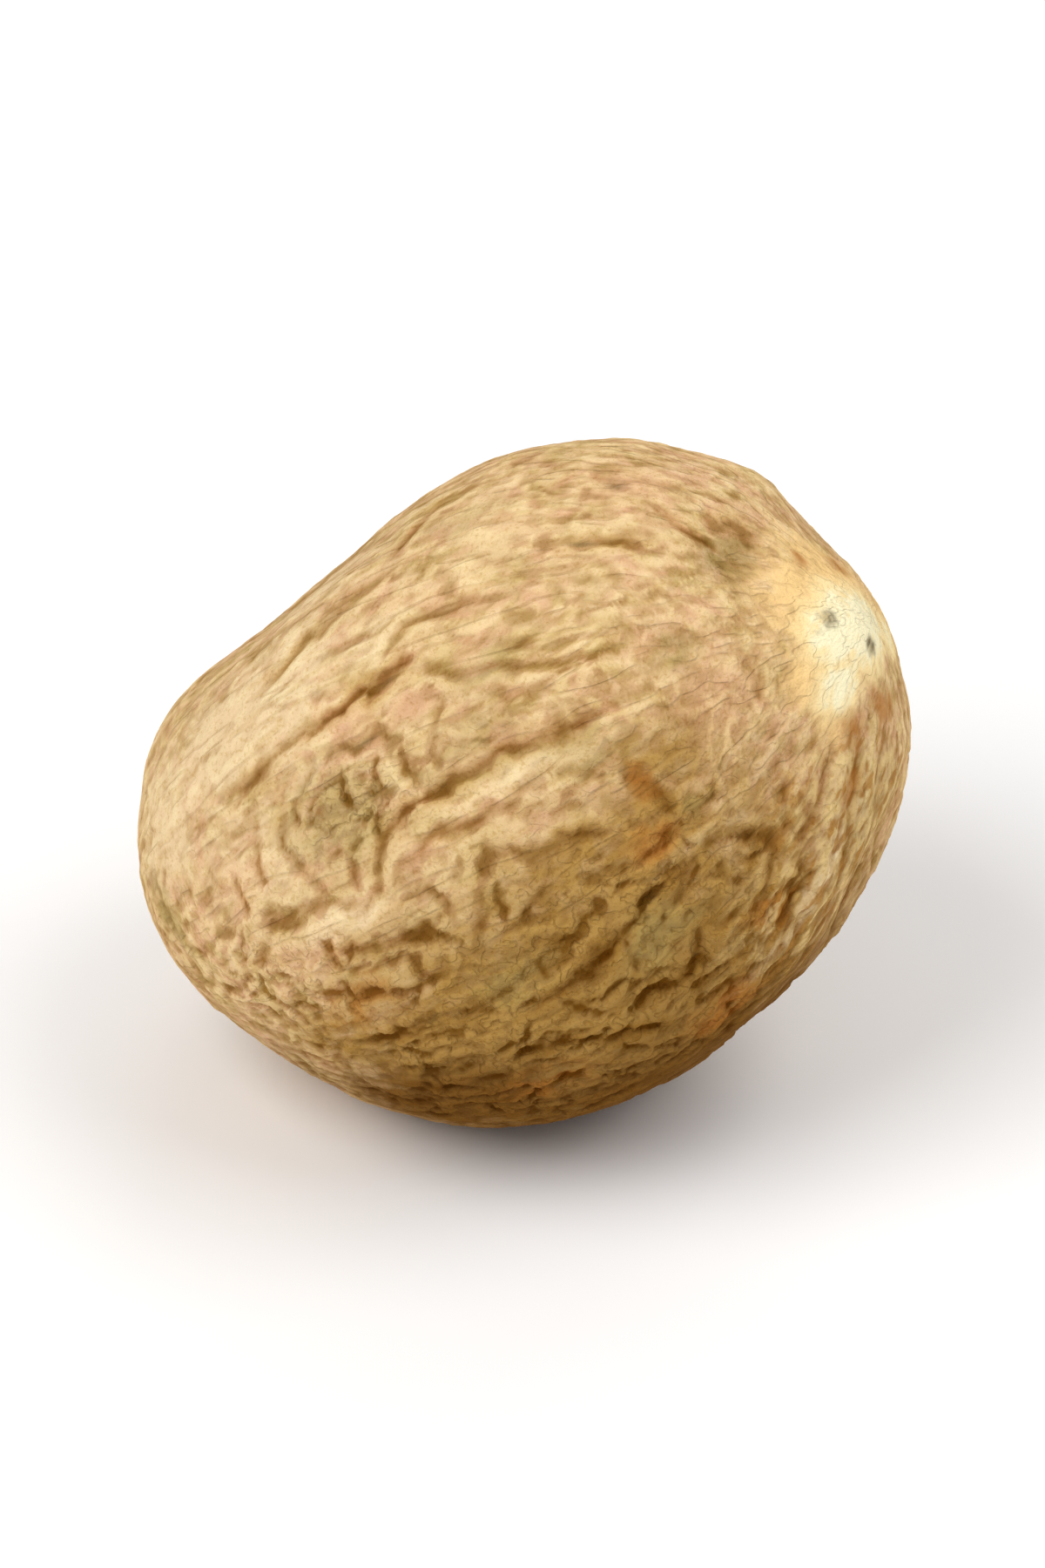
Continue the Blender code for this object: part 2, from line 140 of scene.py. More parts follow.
class Wiring:
    """Adds nodes to one node tree and links them. It serves geometry and materials alike."""

    def __init__(self, tree: bpy.types.NodeTree) -> None:
        """Starts on a tree."""
        self.tree = tree

    @staticmethod
    def pick(sockets: bpy.types.bpy_prop_collection, key: str | int) -> Socket:
        """The socket at a place, or the one of a name that is in use."""
        named = (socket for socket in sockets if socket.enabled and socket.name == key)
        return sockets[key] if isinstance(key, int) else next(named)

    def feed(self, socket: Socket, value: Value) -> None:
        """Links a socket into an input, or sets the input's own value.

        Args:
            socket: the input.
            value: an output socket, or a plain value.
        """
        if isinstance(value, Socket):
            self.tree.links.new(value, socket)
        else:
            socket.default_value = value

    def node(self, kind: str, inputs: Inputs, **settings: object) -> bpy.types.Node:
        """Adds a node.

        Args:
            kind: Blender's name for the kind of node.
            inputs: what is fed in.
            settings: the node's own options.

        Returns:
            The new node.
        """
        node = self.tree.nodes.new(kind)
        for name, value in settings.items():
            setattr(node, name, value)
        for key, value in inputs.items():
            self.feed(self.pick(node.inputs, key), value)
        return node

    def use(self, kind: str, inputs: Inputs, output: str | int, **settings: object) -> Socket:
        """Adds a node as above and gives one of its outputs, by its name or place."""
        return self.pick(self.node(kind, inputs, **settings).outputs, output)

    def math(self, operation: str, *values: Value) -> Socket:
        """One sum on numbers, under the Math node's name for it."""
        return self.use("ShaderNodeMath", dict(enumerate(values)), 0, operation=operation)

    def vector(self, operation: str, *values: Value) -> Socket:
        """One sum on vectors, under the Vector Math node's name for it.

        Args:
            operation: the name.
            values: what goes in, in order.

        Returns:
            A vector, or for a dot product a number.
        """
        inputs = dict(zip((0, "Scale") if operation == "SCALE" else (0, 1, 2), values))
        output = "Value" if operation == "DOT_PRODUCT" else "Vector"
        return self.use("ShaderNodeVectorMath", inputs, output, operation=operation)

    def total(self, *values: Value) -> Socket:
        """The sum of several numbers."""
        return reduce(partial(self.math, "ADD"), values)

    def product(self, *values: Value) -> Socket:
        """The product of several numbers."""
        return reduce(partial(self.math, "MULTIPLY"), values)

    def uneven(self, noise: Value) -> Socket:
        """A noise set about zero."""
        return self.math("SUBTRACT", noise, MIDDLE)

    def parts(self, vector: Value) -> list[Socket]:
        """The three parts of a vector."""
        return list(self.node("ShaderNodeSeparateXYZ", {0: vector}).outputs)

    def ramp(self, value: Value, low: Value, high: Value, start: Value = 0.0, end: Value = 1.0) -> Socket:
        """Eases from start, where the value is low, to end, where it is high."""
        spans = {"Value": value, "From Min": low, "From Max": high, "To Min": start, "To Max": end}
        return self.use("ShaderNodeMapRange", spans, "Result", interpolation_type="SMOOTHSTEP")

    def noise(self, place: Value, scale: Value, detail: float = 2.0, roughness: float = 0.5,
              shift: float = 0.0, output: int = 0) -> Socket:
        """Soft noise from 0 to 1.

        Args:
            place: where it is read.
            scale: how fine it is.
            detail: how many finer layers it has.
            roughness: how strong those are.
            shift: which of its many patterns is taken.
            output: 0 for one noise, 1 for a vector of three.

        Returns:
            The noise.
        """
        moved = self.vector("ADD", place, (shift, -shift, 1.7 * shift))
        inputs = {"Vector": moved, "Scale": scale, "Detail": detail, "Roughness": roughness}
        return self.use("ShaderNodeTexNoise", inputs, output)

    def blend(self, share: Value, first: Value, second: Value, kind: str = "MIX") -> Socket:
        """Lays a share of the second colour on the first."""
        inputs = {"Factor": share, "A": first, "B": second}
        return self.use("ShaderNodeMix", inputs, "Result", data_type="RGBA", blend_type=kind)


class Recipe(Wiring):
    """A node group with named inputs and outputs."""

    def __init__(self, kind: Tree, name: str, inputs: dict[str, type], outputs: dict[str, type]) -> None:
        """Makes the group and its sockets.

        Args:
            kind: its kind of tree.
            name: the group's name.
            inputs: kinds of value by the input's name.
            outputs: kinds of value by the output's name.
        """
        super().__init__(bpy.data.node_groups.new(name, f"{kind.value}NodeTree"))
        for names, side in ((inputs, "INPUT"), (outputs, "OUTPUT")):
            for label, value in names.items():
                self.tree.interface.new_socket(label, in_out=side, socket_type=SOCKETS[value])
        self.group = f"{kind.value}NodeGroup"
        self.given = self.node("NodeGroupInput", {}).outputs
        self.result = self.node("NodeGroupOutput", {}).inputs

    def give(self, name: str, value: Value) -> None:
        """Feeds one of the group's outputs."""
        self.feed(self.result[name], value)

    def placed(self, wiring: Wiring, inputs: Inputs) -> bpy.types.bpy_prop_collection:
        """Places the group in another tree and gives its outputs."""
        return wiring.node(self.group, inputs, node_tree=self.tree).outputs


class GeometryRecipe(Recipe):
    """A Geometry Nodes tree that turns one mesh into another."""

    def __init__(self, name: str, inputs: dict[str, Value]) -> None:
        """Makes the tree, with a mesh in and a mesh out.

        Args:
            name: the tree's name.
            inputs: the values that it runs with, by the input's name.
        """
        kinds = {label: type(value) for label, value in inputs.items()}
        shape = {"Mesh": bpy.types.Mesh}
        super().__init__(Tree.GEOMETRY, name, {**shape, **kinds, "Finish": bpy.types.Material}, shape)
        self.tree.is_modifier = True
        self.inputs = inputs

    def read(self, mark: Mark) -> Socket:
        """Reads one of the mesh's attributes."""
        kind = "FLOAT_VECTOR" if mark in VECTORS else "FLOAT"
        return self.use("GeometryNodeInputNamedAttribute", {"Name": mark.value}, "Attribute", data_type=kind)

    def changed(self, kind: str, mesh: Socket, inputs: Inputs, **settings: object) -> Socket:
        """The mesh as one more node leaves it."""
        return self.use("GeometryNode" + kind, {"Geometry": mesh, **inputs}, "Geometry", **settings)

    def store(self, mesh: Socket, mark: Mark, value: Value) -> Socket:
        """Stores a value on the mesh's points, and gives the mesh."""
        kind = "FLOAT_VECTOR" if mark in VECTORS else "FLOAT"
        return self.changed("StoreNamedAttribute", mesh, {"Name": mark.value, "Value": value},
                            data_type=kind, domain="POINT")

    def position(self) -> Socket:
        """Where each point is."""
        return self.use("GeometryNodeInputPosition", {}, 0)

    def end(self, mesh: Socket) -> None:
        """Ends the tree: smooth faces, real geometry and the piece's material."""
        real = self.changed("RealizeInstances", self.changed("SetShadeSmooth", mesh, {}), {})
        self.give("Mesh", self.changed("SetMaterial", real, {"Material": self.given["Finish"]}))

    def run(self, mesh: bpy.types.Mesh, name: str) -> bpy.types.Mesh:
        """Runs the tree once and keeps the result as a plain mesh.

        Args:
            mesh: what the tree starts from.
            name: the name of the result.

        Returns:
            The new mesh.
        """
        holder = add_object(name, mesh)
        modifier = holder.modifiers.new(self.tree.name, "NODES")
        modifier.node_group = self.tree
        for item in self.tree.interface.items_tree:
            if item.in_out == "INPUT" and item.name in self.inputs:
                modifier[item.identifier] = self.inputs[item.name]
        evaluated = holder.evaluated_get(bpy.context.evaluated_depsgraph_get())
        result = bpy.data.meshes.new_from_object(evaluated)
        result.name = name
        bpy.data.objects.remove(holder)
        return result


class Coat(Wiring):
    """A new material's tree."""

    def __init__(self, name: str) -> None:
        """Makes the material.

        Args:
            name: its name.
        """
        self.material = bpy.data.materials.new(name)
        self.material.use_nodes = True
        super().__init__(self.material.node_tree)
        self.shader = self.tree.nodes["Principled BSDF"].inputs
        self.object_place = self.use("ShaderNodeTexCoord", {}, "Object")


def add_object(name: str, data: bpy.types.ID) -> bpy.types.Object:
    """Adds an object to the scene.

    Args:
        name: its name.
        data: its mesh, light or camera.

    Returns:
        The object.
    """
    item = bpy.data.objects.new(name, data)
    bpy.context.scene.collection.objects.link(item)
    return item


def direction(station: float, turn: float) -> np.ndarray:
    """The point of the unit ball at a station and a turn, where +X runs to the scar and +Z is turn 0.

    Args:
        station: in degrees.
        turn: in degrees.

    Returns:
        The point.
    """
    along, across = math.radians(station), math.radians(turn)
    ring = math.sin(along)
    return np.array((math.cos(along), -ring * math.sin(across), ring * math.cos(across)))


def stations_of(ball: np.ndarray) -> np.ndarray:
    """The station, in degrees, of each point of the unit ball."""
    return np.degrees(np.arccos(np.clip(ball[:, 0], -1.0, 1.0)))


def turns_of(ball: np.ndarray) -> np.ndarray:
    """The turn, in degrees, of each point of the unit ball."""
    return np.degrees(np.arctan2(-ball[:, 1], ball[:, 2]))


def nearer_way(turns: np.ndarray) -> np.ndarray:
    """Turns brought to within half a turn of none, in degrees."""
    return (turns + 180.0) % 360.0 - 180.0


def angle_to(ball: np.ndarray, place: np.ndarray) -> np.ndarray:
    """How many degrees each point of the unit ball lies from one place on it."""
    return np.degrees(np.arccos(np.clip(ball @ place, -1.0, 1.0)))


def unit(vectors: np.ndarray) -> np.ndarray:
    """Vectors brought to a length of one."""
    return vectors / np.linalg.norm(vectors, axis=-1, keepdims=True)


def read_points(mesh: bpy.types.Mesh, mark: Mark | None = None) -> np.ndarray:
    """Reads a vector for each point of a mesh.

    Args:
        mesh: the mesh.
        mark: the attribute to read, or None for where the points are.

    Returns:
        An array of three columns.
    """
    values = np.zeros(len(mesh.vertices) * 3, np.float32)
    source, field = (mesh.attributes[mark.value].data, "vector") if mark else (mesh.vertices, "co")
    source.foreach_get(field, values)
    return values.reshape(-1, 3).astype(float)


def write_points(mesh: bpy.types.Mesh, mark: Mark | Tone, values: np.ndarray) -> None:
    """Writes an attribute for each point of a mesh.

    Args:
        mesh: the mesh.
        mark: the attribute.
        values: one number or one vector a point.
    """
    kind, field = ("FLOAT_VECTOR", "vector") if values.ndim == 2 else ("FLOAT", "value")
    attribute = mesh.attributes.get(mark.value) or mesh.attributes.new(mark.value, kind, "POINT")
    attribute.data.foreach_set(field, np.ascontiguousarray(values, np.float32).ravel())


@dataclass(frozen=True)
class Swell:
    """A soft rise of the form, or with a negative height a hollow. In degrees, its height in millimetres."""

    station: float
    turn: float
    spread: float
    height: float

    def rise(self, ball: np.ndarray) -> np.ndarray:
        """Its height at each point of the unit ball."""
        away = angle_to(ball, direction(self.station, self.turn))
        return self.height * np.exp(-((away / self.spread) ** 2))


@dataclass(frozen=True)
class Furrow:
    """A groove along a route of stations and turns, or with a negative depth a welt. Sizes in millimetres.

    A positive lip stands on its side of greater turn.
    """

    route: tuple
    width: float
    depth: float
    lip: float = 0.0


@dataclass(frozen=True)
class Patch:
    """A place where the skin is marked. Its reaches along and round the seed are in degrees."""

    station: float
    turn: float
    along: float
    across: float
    strength: float = 1.0

    def cover(self, ball: np.ndarray) -> np.ndarray:
        """How much of the patch lies on each point of the unit ball.

        Args:
            ball: the points.

        Returns:
            A number for each.
        """
        stations = stations_of(ball)
        off = nearer_way(turns_of(ball) - self.turn) * np.sin(np.radians(stations))
        away = ((stations - self.station) / self.along) ** 2 + (off / self.across) ** 2
        return self.strength * np.exp(-away)


def covered(patches: tuple[Patch, ...], ball: np.ndarray) -> np.ndarray:
    """The strongest cover of several patches at each point of the unit ball."""
    return np.max([patch.cover(ball) for patch in patches], axis=0)


SWELLS = {
    "scar mound": Swell(6, 60, 10, 0.34),
    "dent beside the scar": Swell(28, 11, 7, -0.30),
    "slack under the scar": Swell(30, 96, 12, -0.14),
    "slack behind the scar": Swell(30, 285, 16, -0.34),
    "slack below the scar": Swell(28, 212, 14, -0.22),
    "corner above the scar": Swell(34, -46, 9, 0.36),
    "hollow under the neck": Swell(45, 158, 15, -0.60),
    "crown": Swell(56, -31, 27, 0.50),
    "flat of the crown": Swell(104, -18, 24, -1.05),
    "far shoulder": Swell(131, -4, 17, 0.52),
    "far end": Swell(150, 44, 22, 0.34),
    "flat of the front": Swell(142, 102, 29, -0.80),
    "lower shoulder": Swell(76, 156, 20, -0.50),
    "fold under the brow": Swell(90, 47, 11, -0.20),
    "cheek": Swell(68, 70, 12, 0.14),
    "back shoulder": Swell(62, 258, 24, 0.30),
    "back of the far end": Swell(142, 255, 24, 0.32),
    "flat of the back": Swell(100, 290, 24, -0.20),
    "belly": Swell(96, 180, 28, 0.50),
    "tuck of the far end": Swell(142, 184, 20, -0.30),
    "far pit": Swell(176, 200, 6, -0.85),
    "rim of the far pit": Swell(168, 200, 14, 0.22),
}

FAR_PIT = SWELLS["far pit"]

FURROWS = {
    "brow": Furrow((
        (79, 29), (82, 31), (84, 32), (88, 31), (92, 32), (96, 33), (100, 33), (103, 34), (106, 36),
        (109, 36), (112, 35), (116, 34),
    ), 0.30, 0.42, 0.16),
    "brow notch": Furrow(((78, 29), (80, 30), (82, 31), (85, 32), (88, 32)), 0.42, 0.50),
    "end of the brow": Furrow((
        (46, 40), (51, 41), (55, 41), (59, 40), (62, 39), (66, 37), (72, 35), (76, 33), (81, 31),
    ), 0.30, 0.26, 0.06),
    "brow branch": Furrow(((68, 22), (74, 22), (78, 23), (81, 25), (83, 28), (84, 31)), 0.30, 0.26),
    "under the brow": Furrow(((97, 41), (92, 39), (89, 40), (86, 40), (82, 43)), 0.34, 0.27),
    "shoulder": Furrow((
        (70, -13), (73, -10), (76, -8), (79, -3), (81, 2), (83, 6), (86, 9), (89, 10), (93, 13), (97, 13),
        (100, 15), (103, 17), (108, 21),
    ), 0.34, 0.30, 0.08),
    "crown": Furrow(((60, 10), (55, 11), (51, 11), (47, 12), (44, 13), (40, 16)), 0.30, 0.32, 0.06),
    "crown pit": Furrow(((51, -12), (49, -8), (46, -4)), 0.44, 0.22),
    "temple": Furrow(((44, -5), (42, -1), (40, 3), (37, 5), (34, 7), (30, 11)), 0.34, 0.34, -0.08),
    "scar notch": Furrow(((35, -7), (32, -4), (29, -3), (26, 0), (25, 4), (24, 10)), 0.42, 0.34),
    "midline": Furrow((
        (46, 50), (51, 51), (55, 52), (59, 53), (63, 54), (67, 54), (71, 53), (76, 54), (81, 54), (85, 54),
        (88, 56), (91, 58), (93, 61), (95, 64), (98, 65), (101, 65), (104, 63), (107, 62), (111, 62),
    ), 0.30, 0.34, 0.18),
    "below the midline": Furrow((
        (92, 65), (89, 63), (85, 61), (81, 62), (76, 62), (71, 62), (65, 61),
    ), 0.28, 0.20),
    "cheek": Furrow((
        (57, 77), (60, 75), (64, 73), (68, 72), (72, 71), (76, 70), (79, 70), (82, 72), (84, 75), (85, 79),
        (87, 84),
    ), 0.34, 0.24, -0.12),
    "rust furrow": Furrow(((58, 65), (56, 68), (54, 71), (53, 75), (54, 79)), 0.36, 0.26),
    "under the pale fold": Furrow((
        (88, 80), (91, 78), (95, 76), (99, 74), (103, 73), (107, 72), (111, 73),
    ), 0.32, 0.26),
    "end fold": Furrow((
        (97, 65), (101, 65), (105, 63), (109, 62), (112, 62), (115, 63), (118, 66), (120, 69), (121, 72),
        (122, 77),
    ), 0.32, 0.23, 0.08),
    "jaw": Furrow((
        (49, 94), (53, 93), (58, 92), (63, 93), (67, 94), (71, 94), (75, 96), (79, 97), (84, 98), (91, 97),
    ), 0.36, 0.34, -0.18),
    "hook": Furrow(((50, 92), (47, 96), (46, 101), (47, 106), (50, 109), (54, 110)), 0.32, 0.40),
    "chin": Furrow(((55, 102), (60, 106), (64, 110), (68, 112), (73, 111), (78, 110)), 0.36, 0.34),
    "keel": Furrow((
        (70, 124), (76, 119), (82, 114), (86, 110), (90, 108), (94, 107), (100, 106),
    ), 0.36, 0.30, 0.08),
    "lower cell": Furrow((
        (87, 92), (91, 92), (96, 94), (100, 92), (104, 91), (108, 92), (113, 93), (120, 91),
    ), 0.34, 0.28),
    "upper cell": Furrow((
        (88, 84), (93, 85), (97, 82), (101, 85), (106, 82), (111, 80), (115, 82),
    ), 0.32, 0.25),
    "cross link": Furrow(((103, 62), (105, 57), (106, 52), (106, 48), (105, 44), (107, 39)), 0.30, 0.26),
    "near ray": Furrow((
        (22, 98), (28, 104), (35, 107), (41, 111), (47, 118), (54, 125), (62, 131),
    ), 0.34, 0.28),
    "middle ray": Furrow((
        (18, 118), (25, 121), (33, 126), (41, 133), (48, 139), (56, 144), (66, 146),
    ), 0.32, 0.24),
    "far ray": Furrow(((17, 140), (26, 141), (36, 147), (46, 152), (58, 154), (72, 152)), 0.32, 0.22),
    "seam": Furrow((
        (14, 214), (30, 205), (52, 208), (76, 203), (100, 207), (126, 202), (150, 206), (170, 202),
    ), 0.55, 0.34, 0.10),
    "fold below the midline": Furrow((
        (50, 56), (55, 57), (59, 57), (63, 58), (68, 58), (73, 58), (78, 58), (83, 58), (87, 59), (90, 62),
    ), 0.42, -0.15),
    "second fold": Furrow(((91, 68), (88, 66), (85, 65), (81, 65), (76, 66), (70, 67)), 0.36, -0.16),
    "pale fold": Furrow((
        (116, 70), (113, 68), (110, 66), (106, 66), (102, 68), (97, 69), (92, 71),
    ), 0.54, -0.36),
    "fold over the jaw": Furrow((
        (44, 91), (48, 89), (51, 88), (55, 87), (59, 87), (63, 88), (67, 89), (73, 91),
    ), 0.34, -0.20),
    "pale ray": Furrow((
        (26, 109), (30, 113), (36, 117), (41, 121), (46, 127), (51, 131), (56, 136), (64, 139),
    ), 0.40, -0.20),
    "second pale ray": Furrow((
        (20, 128), (27, 132), (35, 138), (43, 144), (52, 148), (62, 149),
    ), 0.36, -0.14),
}

# Fine wrinkles that cross the seed: a station, and the turns where each starts and ends.
CROSS_WRINKLES = (
    (88, 42, 50), (82.5, 43, 52), (78, 44, 51), (94, 43, 51), (98, 58, 63), (106, 47, 52), (102, 43, 50),
    (91, 53, 58), (112, 46, 56), (118, 50, 60), (108, 68, 76), (96, 78, 86),
)

# Where the skin is smoother, the net of wrinkles is fainter: height is the share that is taken away.
CALM_PATCHES = {
    "scar": Swell(5, 60, 18, 1.0),
    "pale far end": Swell(120, 14, 20, 0.75),
    "plain under the crown": Swell(60, 25, 12, 0.5),
    "plain before the scar": Swell(42, 56, 12, 0.5),
    "crown": Swell(75, 5, 38, 0.6),
    "pale fold": Swell(105, 69, 11, 0.65),
    "before the pale fold": Swell(120, 62, 14, 0.4),
}

RUGGED_LEAST = 0.14
RUGGED_PATCHES = (
    Patch(84, 108, 42, 34, 1.0), Patch(92, 50, 14, 9, 0.75), Patch(118, 78, 20, 18, 0.7),
    Patch(95, 200, 50, 50, 0.9), Patch(80, 262, 44, 40, 0.8), Patch(128, 250, 30, 40, 0.7),
)

RAY_PATCHES = (Patch(40, 130, 26, 24), Patch(36, 215, 22, 30, 0.8), Patch(158, 200, 20, 40, 0.6))

SCAR_PATCHES = (
    Patch(6, 60, 11, 11), Patch(13, 60, 7, 8), Patch(18, 90, 6, 5, 0.95), Patch(10, 20, 5, 5, 0.7),
    Patch(8, 210, 6, 6, 0.7),
)

HALO_PATCHES = (
    Patch(14, 35, 13, 16), Patch(20, 72, 9, 10, 0.8), Patch(12, -10, 12, 12, 0.9), Patch(23, 97, 6, 6, 0.8),
    Patch(14, 250, 9, 12, 0.7),
)

TONES = {
    # painted shade over the lower half and the underside
    Tone.SHADE: (
        Patch(82, 112, 44, 38, 1.4), Patch(57, 82, 14, 13, 1.1), Patch(116, 92, 16, 14, 0.8),
        Patch(70, 76, 14, 8, 0.9), Patch(49, 67, 12, 10, 0.75), Patch(60, 56, 9, 8, 0.40),
        Patch(96, 190, 50, 60, 0.85), Patch(38, 145, 16, 12, 0.7),
    ),
    # painted shade: the deepest dark, low on the front and underneath
    Tone.UNDER: (Patch(112, 118, 22, 16, 1.2), Patch(96, 152, 46, 36, 1.05), Patch(138, 116, 18, 22, 0.5)),
    Tone.GREY: (Patch(35, 135, 14, 15), Patch(110, 58, 6, 8, 0.4), Patch(62, -40, 14, 16, 0.5)),
    Tone.CREAM: (
        Patch(112, 22, 17, 14), Patch(132, 26, 13, 14, 0.9), Patch(99, 22, 10, 20, 0.8),
        Patch(95, -5, 16, 12, 0.6), Patch(84, 23, 9, 8, 0.55), Patch(114, 50, 15, 13, 0.6),
        Patch(103, 34, 8, 6, 0.7), Patch(66, 58, 14, 2.4, 0.6), Patch(104, 67.5, 11, 2.8),
        Patch(54, 88, 9, 2.4, 0.35), Patch(46, 127, 18, 3.0, 0.8),
    ),
    Tone.STRAW: (
        Patch(51, 8, 6, 4), Patch(66, 8, 9, 15, 0.7), Patch(85, 48, 2.6, 4, 0.9),
        Patch(78.5, 33, 2.2, 2.4, 0.9), Patch(50, 25, 8, 10, 0.5), Patch(138, 12, 10, 12, 0.5),
    ),
    Tone.OLIVE: (
        Patch(96, 50, 11, 12, 0.85), Patch(80.5, 51.5, 3, 2.6, 0.9), Patch(30, 12, 6, 8, 0.9),
        Patch(42, 46, 5, 5, 0.8), Patch(140, 46, 4, 10, 0.9), Patch(49.5, 80, 3.5, 3, 0.8),
        Patch(66, 100, 8, 7, 0.9), Patch(86, 90, 8, 7, 0.6), Patch(72, 0, 9, 5, 0.5),
        Patch(20, 45, 4, 3, 0.5), Patch(73, 50, 9, 7, 0.75), Patch(60, 58, 8, 8, 0.6),
        Patch(69, 36, 8, 6, 0.6), Patch(90, 235, 16, 12, 0.5), Patch(60, 285, 12, 12, 0.4),
    ),
    Tone.WARM: (
        Patch(53, 117, 5, 5, 0.9), Patch(70, 130, 8, 8, 0.7), Patch(58, 81, 5, 5, 0.7),
        Patch(110, 82, 12, 9, 0.5), Patch(96, 118, 10, 8, 0.5), Patch(104, 240, 18, 14, 0.5),
        Patch(40, 250, 12, 12, 0.5),
    ),
    Tone.RUST: (
        Patch(54.5, 70, 3.2, 5.0, 0.6), Patch(15, 135, 4, 6, 0.9), Patch(22, 112, 4, 5, 0.8),
        Patch(18, -3, 2.4, 3, 0.8), Patch(12.5, -35, 3, 4, 0.8), Patch(30, 122, 6, 3, 0.6),
    ),
    Tone.ROSE: (
        Patch(90, 34.5, 3.4, 2.4), Patch(81, 38, 3.4, 2.2, 0.9), Patch(46, -9, 8, 7, 0.8),
        Patch(72, 52, 16, 2.4, 0.7), Patch(118, 53, 8, 8, 0.8), Patch(112, 70, 10, 5, 0.8),
        Patch(38, 62, 10, 10, 0.6), Patch(82, 62, 12, 3, 0.6),
    ),
    Tone.SPOT: (
        Patch(13, 46, 2.5, 2.0, 0.74), Patch(15.5, 53, 1.8, 1.4, 0.45), Patch(6.5, 102, 2.5, 1.9, 0.70),
        Patch(83.5, 31.6, 3.2, 1.1, 0.6), Patch(48, -7, 3.0, 3.0, 0.5), Patch(100.5, 84.5, 1.4, 1.2, 0.5),
        Patch(100.5, 92, 4.4, 1.4, 0.5), Patch(63, 93, 2.4, 1.3, 0.30), Patch(70, 93.4, 2.0, 1.3, 0.32),
        Patch(47.5, 98, 1.4, 3.0, 0.5), Patch(121.5, 90, 1.5, 1.6, 0.5), Patch(119.5, 92.5, 1.4, 1.2, 0.45),
        Patch(65.5, 110, 1.8, 1.4, 0.45), Patch(77, 110, 2.2, 1.4, 0.45), Patch(89, 40, 3.6, 1.0, 0.45),
        Patch(58, 104, 1.6, 1.4, 0.4), Patch(25.5, 2, 2.2, 1.6, 0.4), Patch(110, 36, 2.0, 1.4, 0.4),
        Patch(52, 12, 5.0, 0.9, 0.5),
    ),
}


